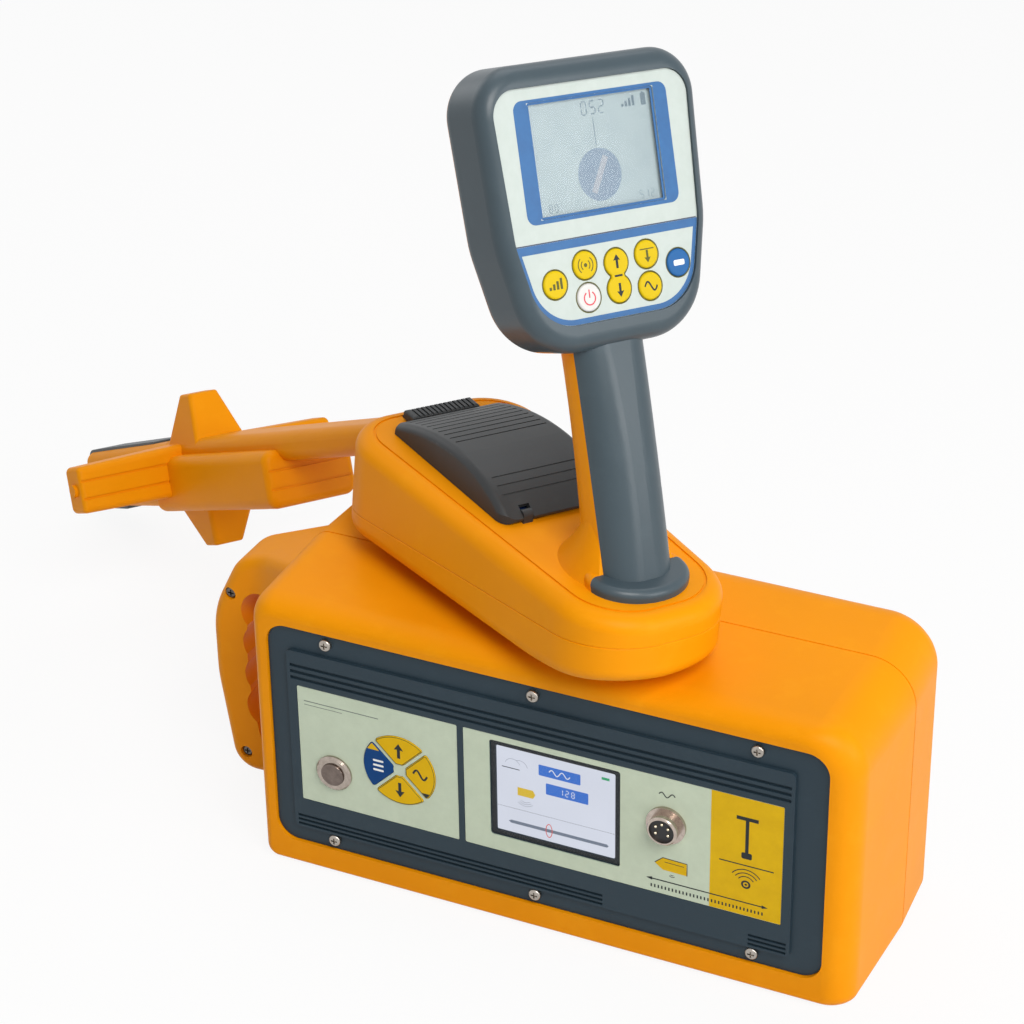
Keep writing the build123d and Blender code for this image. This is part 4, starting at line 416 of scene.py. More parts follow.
# Push button of the transmitter: body, button and nut.
# Nickel-plated brass, turned on a lathe, so fine rings run round the middle of the button.
POWER_X, POWER_Z = -124.2, 69.4
TOOL_RING, RING_DEPTH, STAIN = 0.5, 0.05, 3.0


def turned_nickel(name, x, z, deep, bright):
    """Nickel plate on turned brass: warm grey metal with fine rings about an axis that runs front to back.

    The tool's marks are 0.1 mm apart and are drawn at 0.5 mm, so that they show.
    """
    made, tree, shader, spots = surface(name, Metallic=1.0)
    centred = add(tree, "ShaderNodeMapping", {"Vector": spots, "Location": (-x * MM, 0, -z * MM)})
    flat = add(tree, "ShaderNodeVectorMath", {0: centred.outputs[0], 1: (1, 0, 1)}, operation="MULTIPLY")
    out = add(tree, "ShaderNodeVectorMath", {0: flat.outputs[0]}, operation="LENGTH")
    rings = add(tree, "ShaderNodeMath", {0: out.outputs["Value"], 1: 2 * math.pi / (TOOL_RING * MM)},
                operation="MULTIPLY")
    ripple = add(tree, "ShaderNodeMath", {0: rings.outputs[0]}, operation="SINE")
    stain = add(tree, "ShaderNodeTexNoise", {"Vector": spots, "Scale": 1 / (STAIN * MM), "Detail": 5.0})
    shade = add(tree, "ShaderNodeValToRGB", {"Fac": stain.outputs[0]})
    shade.color_ramp.elements[0].color = linear(deep)
    shade.color_ramp.elements[1].color = linear(bright)
    gloss = add(tree, "ShaderNodeMapRange", {"Value": stain.outputs[0], "To Min": 0.12, "To Max": 0.3})
    relief = add(tree, "ShaderNodeBump", {"Height": ripple.outputs[0], "Strength": 0.08,
                                          "Distance": RING_DEPTH * MM})
    tree.links.new(shade.outputs[0], shader.inputs["Base Color"])
    tree.links.new(gloss.outputs[0], shader.inputs["Roughness"])
    tree.links.new(relief.outputs[0], shader.inputs["Normal"])
    return made


# The bezel is polished; the button's face is the same nickel painted darker, a painted shade of its hollow
# face.
bezel_nickel = turned_nickel("bezel_nickel", POWER_X, POWER_Z, deep="#84786F", bright="#C6BAAF")
finish_cad(bezel_nickel, "power_switch_body", "power_switch_nut")
button_nickel_painted_shade = turned_nickel("button_nickel_painted_shade", POWER_X, POWER_Z, deep="#594F4A", bright="#887B74")
finish_cad(button_nickel_painted_shade, "power_button")

# Round keypad of the transmitter: three yellow keys and a blue one.
# Silicone rubber keys, moulded, with a printed mark on each cap; a board under them takes the press.
KEYPAD_X, KEYPAD_Z, KEY_FACE, KEY_OUT = -84.1, 81.9, -68.3, 12.6
MARK_LONG, INFO_BAR_HALF, INFO_BAR_TALL = 9.4, 3.2, 0.65
CAP_SHADE_BAND, INFO_TIP, FREQUENCY_TIP, ON_FACE = (0.05, 0.45), 9.6, -10.6, 0.05
# Dyed silicone: matt to the eye, with a soft bloom where fingers press.
yellow_rubber = moulded("yellow_silicone", "#E6B800", "#ECC41C", grain=0.9, rough=0.5, bump=0.06,
                        handled=0.25, IOR=1.43, Specular_IOR_Level=0.2)
blue_rubber = moulded("blue_silicone", "#04417F", "#124F8F", grain=0.9, rough=0.5, bump=0.06,
                      handled=0.25, IOR=1.43, Specular_IOR_Level=0.2)
finish_cad(yellow_rubber, "up_key", "down_key", "frequency_key")
finish_cad(blue_rubber, "info_key")
white_ink = film("white_ink", "#F1F3F3", "#E6E9E9", rough=0.5, IOR=1.5)
key_cap = on_panel(KEY_FACE - INK_LIFT)
up_arrow = arrow(KEYPAD_X, KEYPAD_Z + KEY_OUT, MARK_LONG)
down_arrow = arrow(KEYPAD_X, KEYPAD_Z - KEY_OUT, MARK_LONG, turn=180)
key_wave = stroke(wave(KEYPAD_X + KEY_OUT, KEYPAD_Z + 0.6, length=8.4, height=2.6), width=1.2)
info_x = KEYPAD_X - KEY_OUT
info_bars = [sheet(info_x - INFO_BAR_HALF, info_x + INFO_BAR_HALF, KEYPAD_Z + rise - INFO_BAR_TALL,
                   KEYPAD_Z + rise + INFO_BAR_TALL, 0.6) for rise in (-3.0, 0.0, 3.0)]
printed("up_mark", [up_arrow], key_cap, dark_ink, "up_key")
printed("down_mark", [down_arrow], key_cap, dark_ink, "down_key")
printed("frequency_mark", [key_wave], key_cap, dark_ink, "frequency_key")
printed("info_mark", info_bars, key_cap, white_ink, "info_key")


def face_outline(node, place):
    """Outline of a CAD piece's flat face, in the millimetres of a print's place."""
    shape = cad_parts[node]
    to_face = place.inverted() @ shape.matrix_world
    spots = [to_face @ corner.co / MM for corner in shape.data.vertices]
    spots = [spot.xy for spot in spots if abs(spot.z) < ON_FACE]
    return [tuple(spots[i]) for i in convex_hull_2d(spots)]


def inset(points, gap, foot=None):
    """Convex outline drawn in by a gap, which grows towards the bottom where a foot gap is given."""
    made = []
    for i, (u, v) in enumerate(points):
        (a, b), (c, d) = points[i - 1], points[(i + 1) % len(points)]
        run = math.hypot(c - a, d - b)
        here = gap if foot is None else gap + (foot - gap) * max(0.0, (c - a) / run)
        made.append((u - (d - b) / run * here, v + (c - a) / run * here))
    return made


def below(points, limit, side=1):
    """Part of an outline that lies under a level line, or above it where the side is -1."""
    made = []
    for (a, b), (c, d) in zip(points, points[1:] + points[:1]):
        if side * b <= side * limit:
            made.append((a, b))
        if (side * b <= side * limit) != (side * d <= side * limit):
            made.append((a + (c - a) * (limit - b) / (d - b), limit))
    return made


# Each yellow cap has a thin olive line round its edge, a painted shade of the gap round the key; the blue cap
# and the right-hand one have a printed tip.
olive_ink_and_shade = film("olive_ink_and_shade", "#5C5A1C", "#504E16", rough=0.5, IOR=1.5, Specular_IOR_Level=0.3)
for name in ("up_key", "down_key", "frequency_key"):
    cap = face_outline(name, on_panel(KEY_FACE))
    printed(name + "_edge", [inset(cap, gap) for gap in CAP_SHADE_BAND], key_cap, olive_ink_and_shade, name)
info_tip = below(inset(face_outline("info_key", on_panel(KEY_FACE)), 0.1), KEYPAD_Z + INFO_TIP, side=-1)
printed("info_tip", [info_tip], key_cap, yellow_ink, "info_key")
frequency_tip = below(inset(face_outline("frequency_key", on_panel(KEY_FACE)), 0.5), KEYPAD_Z + FREQUENCY_TIP)
printed("frequency_tip", [frequency_tip], key_cap, dark_ink, "frequency_key")

# Display of the transmitter: a lit colour panel behind a clear acrylic window.
# The window is cut from sheet and glued in; a black border is printed on its back. The picture is made of
# plain shapes, bars and numbers.
VIEW_X0, VIEW_X1, VIEW_Z0, VIEW_Z1 = -27.0, 41.7, 59.6, 113.7
BORDER_BOX, BORDER_ROUND, WINDOW_BACK = (-29.8, 44.5, 56.8, 116.5), 0.8, -66.64
LIT_FACE, PICTURE_LIFT, PICTURE_TOP_LIFT = -66.4, 0.03, 0.08
LAMP_CLOUD, LAMP_DIM, SMEAR, MIRROR_SHARE = 30.0, 0.9, 14.0, 0.05
NUMERAL_WIDE, BAR_END = 0.46, 0.62


def lit(name, code):
    """Lit part of a colour screen: its light, with the faint unevenness of the lamp behind it."""
    made, tree, shader, spots = surface(name, Base_Color=linear("#1C1E22"), Roughness=0.4,
                                        Emission_Strength=1.06)
    uneven = add(tree, "ShaderNodeTexNoise", {"Vector": spots, "Scale": 1 / (LAMP_CLOUD * MM), "Detail": 2.0})
    dim = [LAMP_DIM * c for c in linear(code)[:3]] + [1.0]
    glow = add(tree, "ShaderNodeMix", {0: uneven.outputs[0], 6: dim, 7: linear(code)}, data_type="RGBA")
    tree.links.new(glow.outputs[2], shader.inputs["Emission Color"])
    return made


def acrylic(name):
    """Clear acrylic: what is behind shows, and each face sends back a small share of the room, smeared."""
    made, tree, shader, spots = surface(name, Base_Color=linear("#5E6062"), Metallic=1.0)
    smears = add(tree, "ShaderNodeTexNoise", {"Vector": spots, "Scale": 1 / (SMEAR * MM), "Detail": 5.0})
    gloss = add(tree, "ShaderNodeMapRange", {"Value": smears.outputs[0], "To Min": 0.03, "To Max": 0.16})
    tree.links.new(gloss.outputs[0], shader.inputs["Roughness"])
    clear = add(tree, "ShaderNodeBsdfTransparent", {"Color": linear("#F8FAFB")})
    mixed = add(tree, "ShaderNodeMixShader", {0: MIRROR_SHARE, 1: clear.outputs[0], 2: shader.outputs[0]})
    out = next(node for node in tree.nodes if node.type == "OUTPUT_MATERIAL")
    tree.links.new(mixed.outputs[0], out.inputs["Surface"])
    return made


def on_view(u, v):
    """Point of the picture from its shares of the view's width, and of its height from the top."""
    return VIEW_X0 + u * (VIEW_X1 - VIEW_X0), VIEW_Z1 - v * (VIEW_Z1 - VIEW_Z0)


def view_sheet(u0, u1, v0, v1, r=0.0):
    """Rectangle of the picture from its shares of the view."""
    (x0, z1), (x1, z0) = on_view(u0, v0), on_view(u1, v1)
    return sheet(x0, x1, z0, z1, r)


def number(text, u, v, pitch, tall, width=0.45):
    """Row of plain seven-bar numerals as drawn strokes, from the centre of the first one.

    Each bar stops short of its corners, because strokes that overlap would cut each other out.
    """
    bars = {"a": ((0, 1), (1, 1)), "b": ((1, 1), (1, 0.5)), "c": ((1, 0.5), (1, 0)), "d": ((0, 0), (1, 0)),
            "e": ((0, 0.5), (0, 0)), "f": ((0, 1), (0, 0.5)), "g": ((0, 0.5), (1, 0.5))}
    numerals = {"0": "abcdef", "1": "bc", "2": "abged", "5": "afgcd", "8": "abcdefg"}
    made = []
    for i, numeral in enumerate(text):
        for letter in numerals[numeral]:
            (a, b), (c, d) = [(u + i * pitch + NUMERAL_WIDE * tall * (p - 0.5), v + tall * (q - 0.5))
                              for p, q in bars[letter]]
            gap = BAR_END * width / math.hypot(c - a, d - b)
            made.append(stroke([(a + (c - a) * s, b + (d - b) * s) for s in (gap, 1 - gap)], width))
    return made


def screen_print(name, outlines, lift, glow):
    """Part of the transmitter's picture."""
    printed(name, outlines, on_panel(LIT_FACE - lift), glow, "transmitter")


screen_white = lit("lit_screen_white", "#E2E3EF")
finish_cad(screen_white, "display_module")
clear_acrylic = acrylic("clear_acrylic")
finish_cad(clear_acrylic, "display_window", "receiver_window")
# Border ink: a dull bluish black.
border_ink = film("black_border_ink", "#14181F", "#0E1116", rough=0.5, IOR=1.5)
printed("display_border", [sheet(*BORDER_BOX, BORDER_ROUND), sheet(VIEW_X0, VIEW_X1, VIEW_Z0, VIEW_Z1)],
        on_panel(WINDOW_BACK), border_ink, "transmitter")
# Two blue boxes, a wave in the upper one and a number in the lower one.
boxes = [view_sheet(0.36, 0.71, 0.11, 0.235, 0.6), view_sheet(0.42, 0.775, 0.31, 0.44, 0.6)]
screen_print("screen_blue", boxes, PICTURE_LIFT, lit("lit_screen_blue", "#2F6FD0"))
box_wave = stroke(wave(*on_view(0.535, 0.172), length=12.0, height=1.5, turns=2.0), width=0.6)
middle_x, middle_z = on_view(0.598, 0.375)
reading = number("128", middle_x - 3.4, middle_z, pitch=3.4, tall=3.6)
screen_print("screen_numbers", [box_wave] + reading, PICTURE_TOP_LIFT, screen_white)
# A yellow tag, faint arcs under it, and the loop and lead of a clamp.
(tag_x0, tag_z1), (tag_x1, tag_z0) = on_view(0.18, 0.44), on_view(0.31, 0.535)
tag_point = (tag_x1 + 1.4, (tag_z0 + tag_z1) / 2)
screen_tag = [(tag_x0, tag_z0), (tag_x1, tag_z0), tag_point, (tag_x1, tag_z1), (tag_x0, tag_z1)]
screen_print("screen_yellow", [screen_tag], PICTURE_LIFT, lit("lit_screen_yellow", "#E3BC1D"))
hint_x, hint_z = on_view(0.245, 0.585)
arcs = [stroke(bow(hint_x, hint_z + 2.6, r, start=225, end=315, count=8), width=0.25)
        for r in (3.6, 4.8, 6.0)]
clamp_x, clamp_z = on_view(0.14, 0.17)
loop = [stroke(bow(clamp_x, clamp_z - 2, 4.5, start=20, end=160), width=0.22),
        stroke(bow(clamp_x + 4.2, clamp_z - 2, 4.5, start=10, end=120), width=0.22)]
screen_print("screen_grey", arcs + loop, PICTURE_LIFT, lit("lit_screen_grey", "#9498A6"))
dark_glow = lit("lit_screen_dark", "#3A3D48")
lead = stroke([on_view(0.05, 0.235), on_view(0.2, 0.235)], width=0.5)
screen_print("screen_lead", [lead], PICTURE_TOP_LIFT, dark_glow)
# A slider with a red ring as its marker, a battery sign, and a dashed ground line.
SLIDER_V = 0.868
(bar_x0, bar_z), (bar_x1, _) = on_view(0.1, SLIDER_V), on_view(0.945, SLIDER_V)
slider = [(bar_x0, bar_z), (bar_x0 + 1.6, bar_z + 1.0), (bar_x1 - 1.0, bar_z + 1.0), (bar_x1, bar_z),
          (bar_x1 - 1.0, bar_z - 1.0), (bar_x0 + 1.6, bar_z - 1.0)]
screen_print("screen_slider", [slider], PICTURE_LIFT, lit("lit_screen_slate", "#747C8C"))
knob = on_view(0.444, SLIDER_V)
screen_print("screen_marker", [oval(*knob, 2.0, 4.4), oval(*knob, 1.55, 3.9)], PICTURE_TOP_LIFT,
             lit("lit_screen_red", "#E0503F"))
screen_print("screen_battery", [view_sheet(0.885, 0.95, 0.07, 0.1)], PICTURE_LIFT,
             lit("lit_screen_green", "#2FA36B"))
ticks("screen_ground", count=44, pitch=1.55, width=0.9, height=0.25, start=on_view(0.015, 0.705),
      place=on_panel(LIT_FACE - PICTURE_LIFT), ink=dark_glow, body="transmitter")

# Output socket of the transmitter: barrel, insert, pins and nut.
# Nickel-plated brass turned to shape, a moulded black nylon insert and five plated pins.
SOCKET_X, SOCKET_Z, TARNISH = 71.1, 91.5, 1.2
socket_nickel = turned_nickel("socket_nickel", SOCKET_X, SOCKET_Z, deep="#9C8E84", bright="#D2C5BA")
finish_cad(socket_nickel, "output_socket", "socket_nut")
# Black nylon: nearly black, with a waxy sheen. It also makes the holders of the aerial rod.
black_nylon = moulded("black_nylon", "#161618", "#232325", grain=0.8, rough=0.5, bump=0.08, IOR=1.53)
finish_cad(black_nylon, "socket_insert", "rod_holders")
# Plated pins: bright pale gold with a little tarnish.
pin_plate, tree, shader, spots = surface("plated_pin", Metallic=1.0, Roughness=0.18)
tarnish = add(tree, "ShaderNodeTexNoise", {"Vector": spots, "Scale": 1 / (TARNISH * MM), "Detail": 3.0})
shade = add(tree, "ShaderNodeValToRGB", {"Fac": tarnish.outputs[0]})
shade.color_ramp.elements[0].color = linear("#D9C9A4")
shade.color_ramp.elements[1].color = linear("#F4EBD6")
tree.links.new(shade.outputs[0], shader.inputs["Base Color"])
finish_cad(pin_plate, "socket_pins")

# Works inside the transmitter and the receiver: boards, batteries and aerials.
# Glass-fibre boards under lacquer, shrink-wrapped cells, sintered ferrite rods and enamelled copper coils,
# all screwed, clipped or glued into the shells.
TRACK_CELL, WIRE, WIRE_DEPTH, WAVE_BANDS = 5.0, 0.6, 0.3, 20
# Green lacquer: dark green gloss with paler lines where copper tracks run under it.
board, tree, shader, spots = surface("green_lacquer_board", Roughness=0.35, IOR=1.5)
tracks = add(tree, "ShaderNodeTexVoronoi", {"Vector": spots, "Scale": 1 / (TRACK_CELL * MM)},
             distance="MANHATTAN", feature="DISTANCE_TO_EDGE")
edge = add(tree, "ShaderNodeValToRGB", {"Fac": tracks.outputs["Distance"]})
track, between = edge.color_ramp.elements
track.position, track.color = 0.04, linear("#2E7D48")
between.position, between.color = 0.07, linear("#14502B")
tree.links.new(edge.outputs[0], shader.inputs["Base Color"])
finish_cad(board, "keypad_board", "main_board", "output_board", "receiver_board")
# Shrink wrap: blue, glossy and slightly puckered.
shrink_wrap = moulded("blue_shrink_wrap", "#1E3F7A", "#3A5A94", grain=6.0, rough=0.35, bump=0.3, IOR=1.5)
finish_cad(shrink_wrap, "battery_pack", "receiver_battery")
# Ferrite: a dull charcoal ceramic.
ferrite = moulded("sintered_ferrite", "#2A2A2C", "#3A3A3C", grain=0.7, rough=0.6, bump=0.2, IOR=2.2)
finish_cad(ferrite, "ferrite_rod", "lateral_rod", "vertical_rod")
# Enamelled copper: reddish metal in bands. The wire is 0.6 mm; its turns are drawn 3.8 mm apart to show.
coil, tree, shader, spots = surface("enamelled_copper", Metallic=1.0, Roughness=0.3)
turns = add(tree, "ShaderNodeTexWave", {"Vector": spots, "Scale": 1 / (WAVE_BANDS * WIRE * MM),
                                        "Distortion": 0.4})
shade = add(tree, "ShaderNodeValToRGB", {"Fac": turns.outputs[0]})
shade.color_ramp.elements[0].color = linear("#7A3D20")
shade.color_ramp.elements[1].color = linear("#C8743F")
relief = add(tree, "ShaderNodeBump", {"Height": turns.outputs[0], "Strength": 0.5,
                                      "Distance": WIRE_DEPTH * MM})
tree.links.new(shade.outputs[0], shader.inputs["Base Color"])
tree.links.new(relief.outputs[0], shader.inputs["Normal"])
finish_cad(coil, "rod_winding", "lateral_windings", "vertical_winding")

# Front half of the receiver's grip and display head, and the guard round the blade's tip.
# Moulded ABS; the grip half is screwed to the orange one, and the guard is a clipped strip.
# Slate-grey ABS with a smooth sheen on the grip, darker and duller on the guard.
grey_abs = moulded("grey_abs", "#404E56", "#4C5B63", grain=1.0, rough=0.33, bump=0.1,
                   IOR=1.53, Specular_IOR_Level=0.32)
finish_cad(grey_abs, "grip_front")
guard_abs = moulded("dark_grey_abs", "#3D4347", "#565C60", grain=1.0, rough=0.5, bump=0.12, IOR=1.53)
finish_cad(guard_abs, "tip_guard")

# Battery cover of the receiver, its latch and the ears that hold its hinge pin.
# Mouldings with a rubber coat; the ribs are moulded in for the thumb, and the ears root in the deck.
# Black rubber: a soft charcoal with a satin sheen.
cover_rubber = moulded("black_rubber", "#36393B", "#44484A", grain=0.9, rough=0.42, bump=0.14,
                       IOR=1.5, Specular_IOR_Level=0.26)
finish_cad(cover_rubber, "battery_cover", "cover_latch", "hinge_ears")

# Faceplate of the receiver's head.
# Printed polycarbonate film glued to the head, with a blue frame round the screen and a blue border round
# the keys. The receiver lies turned and rolled on the case, and its stem leans.
TURN, ROLL, LEAN = math.radians(31.0), math.radians(6.0), math.radians(21.3)
BODY_PLACE, HEAD_PLACE = Vector((71.2, -66.3, 169.2)), Vector((36.0, 0, 46.0))
PLATE_FACE, WINDOW_FRONT, SCREEN_MID, BAND_SHADOW_LEVEL, SHADOW_LINE_HALF = 15.4, 14.64, 219.5, 180.0, 54.6
SCREEN_FRAME = (-46, 46, SCREEN_MID - 30.4, SCREEN_MID + 30.0, 5.0)
FRAME_OPENING = (-38, 38, SCREEN_MID - 28.5, SCREEN_MID + 28.5)
WINDOW_RIM = (-37.9, 37.9, SCREEN_MID - 28.4, SCREEN_MID + 28.4)
WINDOW_VIEW = (-36.5, 36.5, SCREEN_MID - 27.3, SCREEN_MID + 27.3)
BORDER_OUT, BORDER_IN, BORDER_FOOT, BORDER_TOP, BAND_FOOT = 0.1, 2.1, 2.9, 0.35, 4.6
along = Vector((-math.cos(TURN), math.sin(TURN), 0))
rise = Vector((math.sin(ROLL) * math.sin(TURN), math.sin(ROLL) * math.cos(TURN), math.cos(ROLL)))
body_frame = Matrix((along, rise.cross(along), rise)).transposed().to_4x4()
body_frame.translation = BODY_PLACE * MM
stem_up = Vector((math.sin(LEAN), 0, math.cos(LEAN)))
stem_side = Vector((0, 1, 0))
head_frame = Matrix((-stem_side, stem_up, stem_up.cross(stem_side))).transposed().to_4x4()
head_frame.translation = HEAD_PLACE * MM


def on_head(depth):
    """Place of a print on the head's face: first across to the right, second up the stem."""
    return body_frame @ head_frame @ Matrix.Translation((0, 0, depth * MM))


def plate_print(name, outlines, ink):
    """Print on the receiver's faceplate."""
    printed(name, outlines, on_head(PLATE_FACE + INK_LIFT), ink, "receiver")


# Pale film: a grey-green white with a light gloss; its ink is a mid blue, and a navy line on it is painted
# shadow.
pale_film = film("pale_polycarbonate_film", "#BCC6C2", "#B4BFBA", rough=0.38,
                 IOR=1.58, Specular_IOR_Level=0.35)
finish_cad(pale_film, "receiver_faceplate")
blue_ink = film("blue_ink", "#31679E", "#2A5D92", rough=0.38, IOR=1.5, Specular_IOR_Level=0.3)
plate_print("screen_frame", [sheet(*SCREEN_FRAME), sheet(*FRAME_OPENING)], blue_ink)
# The window's border, printed on its front, hides the edge of the screen.
printed("window_border", [sheet(*WINDOW_RIM), sheet(*WINDOW_VIEW)], on_head(WINDOW_FRONT), blue_ink,
        "receiver")
rim = face_outline("receiver_faceplate", on_head(PLATE_FACE))
outside = below(inset(rim, BORDER_OUT), BAND_SHADOW_LEVEL - BORDER_TOP)
inside = below(inset(rim, BORDER_IN, BORDER_FOOT), BAND_SHADOW_LEVEL - BAND_FOOT)
plate_print("key_border", [outside, inside], blue_ink)
# The navy line along the top of the blue band is painted shadow, where the pale part of the plate meets the
# band.
shadow_line_paint = film("navy_painted_shadow", "#27364E", "#1F2C42", rough=0.4, IOR=1.5)
plate_print("plate_painted_shadow_line", [sheet(-SHADOW_LINE_HALF, SHADOW_LINE_HALF, BAND_SHADOW_LEVEL - 0.3, BAND_SHADOW_LEVEL + 0.3)], shadow_line_paint)

# Label of the receiver's battery, seen when the cover is open.
# Printed silver film stuck to the shrink wrap, with a dark band and the signs of the two poles.
LABEL_EDGE, LABEL_ROUND, BAND_WIDE, BAND_EDGE, BAND_ROUND = 7.0, 2.0, 9.0, 3.0, 1.0
SIGN_LONG, SIGN_HALF, SIGN_EDGE, SIGN_OUT = 2.6, 0.5, 6.0, 12.0
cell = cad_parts["receiver_battery"]
cell_turn = cell.matrix_world.to_3x3()
lid = max(cell.data.polygons, key=lambda face: face.area * (cell_turn @ face.normal).z)
lid_up = (cell_turn @ lid.normal).normalized()
lid_side = rise.cross(along)
on_lid = Matrix((lid_side.cross(lid_up), lid_side, lid_up)).transposed().to_4x4()
on_lid.translation = cell.matrix_world @ lid.center
lid_rim = face_outline("receiver_battery", on_lid)
left, right = min(u for u, v in lid_rim) + LABEL_EDGE, max(u for u, v in lid_rim) - LABEL_EDGE
bottom, top = min(v for u, v in lid_rim) + LABEL_EDGE, max(v for u, v in lid_rim) - LABEL_EDGE
# Silver film: a pale grey with a light gloss.
silver_film = film("silver_label_film", "#B9BDC0", "#ADB1B5", rough=0.35, IOR=1.5)
printed("battery_label", [sheet(left, right, bottom, top, LABEL_ROUND)],
        on_lid @ Matrix.Translation((0, 0, INK_LIFT * MM)), silver_film, "receiver")
band = sheet(left + BAND_EDGE, left + BAND_EDGE + BAND_WIDE, bottom + BAND_EDGE, top - BAND_EDGE, BAND_ROUND)
sign_u, plus_v, minus_v = right - SIGN_EDGE, (bottom + top) / 2 + SIGN_OUT, (bottom + top) / 2 - SIGN_OUT
minus = sheet(sign_u - SIGN_HALF, sign_u + SIGN_HALF, minus_v - SIGN_LONG, minus_v + SIGN_LONG)
plus = [(sign_u + a * SIGN_HALF + b * SIGN_LONG, plus_v + c * SIGN_HALF + d * SIGN_LONG) for a, b, c, d in (
    (1, 0, 0, 1), (-1, 0, 0, 1), (-1, 0, 1, 0), (0, -1, 1, 0), (0, -1, -1, 0), (-1, 0, -1, 0),
    (-1, 0, 0, -1), (1, 0, 0, -1), (1, 0, -1, 0), (0, 1, -1, 0), (0, 1, 1, 0), (1, 0, 1, 0))]
printed("battery_signs", [band, minus, plus], on_lid @ Matrix.Translation((0, 0, TOP_INK_LIFT * MM)),
        dark_ink, "receiver")

# Screen of the receiver.
# A liquid-crystal panel under the clear window; its marks are faint because it isn't lit.
LCD_FACE, NEEDLE_LIFT = 13.05, 0.05
READING_Z, CORNER_Z, GAUGE_Z = SCREEN_MID + 22.0, SCREEN_MID - 24.0, SCREEN_MID + 20.0
COMPASS_U, COMPASS_V, COMPASS_R = 1.5, SCREEN_MID - 11.0, 13.0
# Liquid-crystal glass: a flat grey-blue. Its marks are greyer, the disc is bluer and the needle is pale.
lcd_glass = film("lcd_glass", "#BAC6C7", "#AFBCBF", rough=0.3, IOR=1.5)
finish_cad(lcd_glass, "receiver_display")
lcd_shadow = film("lcd_faint_mark", "#7A8B95", "#72838D", rough=0.3, IOR=1.5)
lcd_disc = film("lcd_disc", "#90A1B2", "#8798AA", rough=0.3, IOR=1.5)
lcd_pale = film("lcd_pale_mark", "#B3B5BC", "#ACAEB6", rough=0.3, IOR=1.5)
numbers = number("052", -3.2, READING_Z, pitch=5.2, tall=6.4, width=0.62)
numbers += number("80", -30.0, CORNER_Z, pitch=3.4, tall=3.8, width=0.4)
numbers += number("512", 25.0, CORNER_Z, pitch=3.4, tall=3.8, width=0.4)
gauges = [sheet(19.5 + 2.2 * i, 20.9 + 2.2 * i, GAUGE_Z, GAUGE_Z + 1.4 + 1.2 * i) for i in range(4)]
gauges += [sheet(31.5, 34.5, GAUGE_Z - 0.4, GAUGE_Z + 5.4), sheet(32.2, 33.8, GAUGE_Z + 5.4, GAUGE_Z + 6.2)]
guide = sheet(COMPASS_U - 0.2, COMPASS_U + 0.2, SCREEN_MID + 3.4, SCREEN_MID + 17.0)
needle = [(COMPASS_U - 4.6, COMPASS_V - 8.6), (COMPASS_U + 4.6, COMPASS_V + 8.6)]
printed("lcd_marks", numbers + gauges + [guide], on_head(LCD_FACE), lcd_shadow, "receiver")
printed("lcd_compass", [oval(COMPASS_U, COMPASS_V, COMPASS_R, COMPASS_R, count=64)], on_head(LCD_FACE),
        lcd_disc, "receiver")
printed("lcd_needle", [stroke(needle, width=3.4)], on_head(LCD_FACE + NEEDLE_LIFT), lcd_pale,
        "receiver")

# Keys of the receiver: five yellow ones, a white one and a blue one, with their printed marks.
# Moulded silicone caps in round holes of the faceplate; the long yellow one rocks up and down.
KEY_TOP, KEY_R, RING_OUT, RING_IN = 16.3, 7.0, 0.75, 0.25
ROCKER_U, ROCKER_V, LOBE_OUT, ROCKER_NECK, ROCKER_ARROW = 2.5, 158.0, 6.5, 3.0, 7.2
KEY_SPOTS = {"volume": (-35.1, 159), "frequency": (-16.3, 166), "power": (-16.3, 150),
             "depth": (21.3, 166), "light": (21.3, 150), "info": (40.1, 159)}
# Dyed silicone, a little glossier than the transmitter's.
rx_yellow = moulded("bright_yellow_silicone", "#D6B800", "#DCC42A", grain=0.9, rough=0.46, bump=0.06,
                    handled=0.25, IOR=1.43, Specular_IOR_Level=0.25)
white_rubber = moulded("white_silicone", "#DADAD8", "#CFCFCD", grain=0.9, rough=0.46, bump=0.06,
                       handled=0.25, IOR=1.43, Specular_IOR_Level=0.3)
light_blue_rubber = moulded("light_blue_silicone", "#2763A0", "#3570AC", grain=0.9, rough=0.46, bump=0.06,
                            handled=0.25, IOR=1.43, Specular_IOR_Level=0.25)
finish_cad(rx_yellow, "receiver_volume_key", "receiver_frequency_key", "receiver_depth_key",
           "receiver_light_key", "receiver_rocker_key")
finish_cad(white_rubber, "receiver_power_key")
finish_cad(light_blue_rubber, "receiver_info_key")
red_ink = film("red_ink", "#D6394B", "#C92F42", rough=0.5, IOR=1.5)
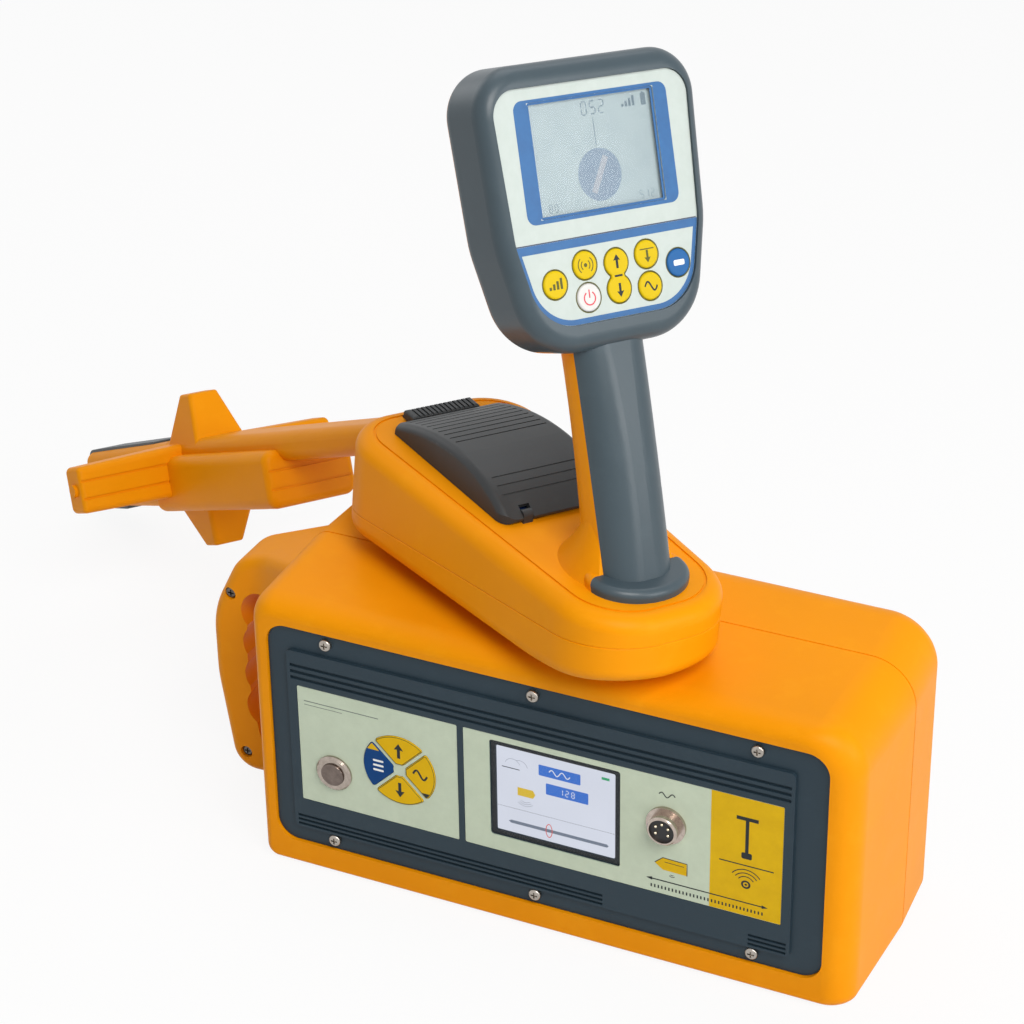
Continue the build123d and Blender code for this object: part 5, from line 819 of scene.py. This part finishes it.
# Volume bars, sound from a speaker, the on-off sign, depth under a line, a wave and a plain bar.
u, v = KEY_SPOTS["volume"]
volume = [sheet(u - 4.1 + 2.2 * i, u - 2.7 + 2.2 * i, v - 2.4, v - 0.8 + 1.3 * i) for i in range(4)]
u, v = KEY_SPOTS["frequency"]
sound = [oval(u, v, 1.0, 1.0, count=20)]
sound += [stroke(bow(u, v, r, mid - 50, mid + 50, count=10), width=0.55)
          for r in (2.6, 4.4) for mid in (0, 180)]
u, v = KEY_SPOTS["power"]
power = [stroke(bow(u, v - 0.4, 3.3, start=122, end=418, count=24), width=0.7),
         sheet(u - 0.35, u + 0.35, v - 0.2, v + 3.9)]
u, v = KEY_SPOTS["depth"]
depth = [stroke([(u - 4.3, v + 2.6), (u + 4.3, v + 2.6)], width=0.55), arrow(u, v - 1.1, 6.4, turn=180)]
light = [stroke(wave(*KEY_SPOTS["light"], length=7.6, height=2.3), width=0.9)]
u, v = KEY_SPOTS["info"]
info = [sheet(u - 3.3, u + 3.3, v - 1.4, v + 1.4, 0.7)]
rocker = [arrow(ROCKER_U, ROCKER_V + ROCKER_ARROW, 7.0),
          arrow(ROCKER_U, ROCKER_V - ROCKER_ARROW, 7.0, turn=180),
          sheet(ROCKER_U - 2.4, ROCKER_U + 2.4, ROCKER_V - 0.5, ROCKER_V + 0.5)]
for name, shapes, ink, slot in (
    ("receiver_volume_key", volume, olive_ink_and_shade, "yellow_key"),
    ("receiver_frequency_key", sound, olive_ink_and_shade, "yellow_key"),
    ("receiver_power_key", power, red_ink, "white_key"),
    ("receiver_rocker_key", rocker, dark_ink, "yellow_key"),
    ("receiver_depth_key", depth, olive_ink_and_shade, "yellow_key"),
    ("receiver_light_key", light, dark_ink, "yellow_key"),
    ("receiver_info_key", info, white_ink, "blue_key"),
):
    printed(name + "_mark", shapes, on_head(KEY_TOP + INK_LIFT), ink, name)


def lobes(r):
    """Outline of the long key's two lobes, met at its neck."""
    turn = math.degrees(math.acos((r - ROCKER_NECK) / r))
    upper = bow(ROCKER_U, ROCKER_V + LOBE_OUT, r, -turn, 180 + turn, count=28)
    return upper + bow(ROCKER_U, ROCKER_V - LOBE_OUT, r, 180 - turn, 360 + turn, count=28)


# Thin printed rings on the faceplate round the keys; the ring of the long key follows its two lobes.
ring_sizes = (KEY_R + RING_OUT, KEY_R + RING_IN)
rings = [oval(u, v, r, r) for u, v in KEY_SPOTS.values() for r in ring_sizes]
plate_print("key_rings", rings + [lobes(r) for r in ring_sizes], olive_ink_and_shade)
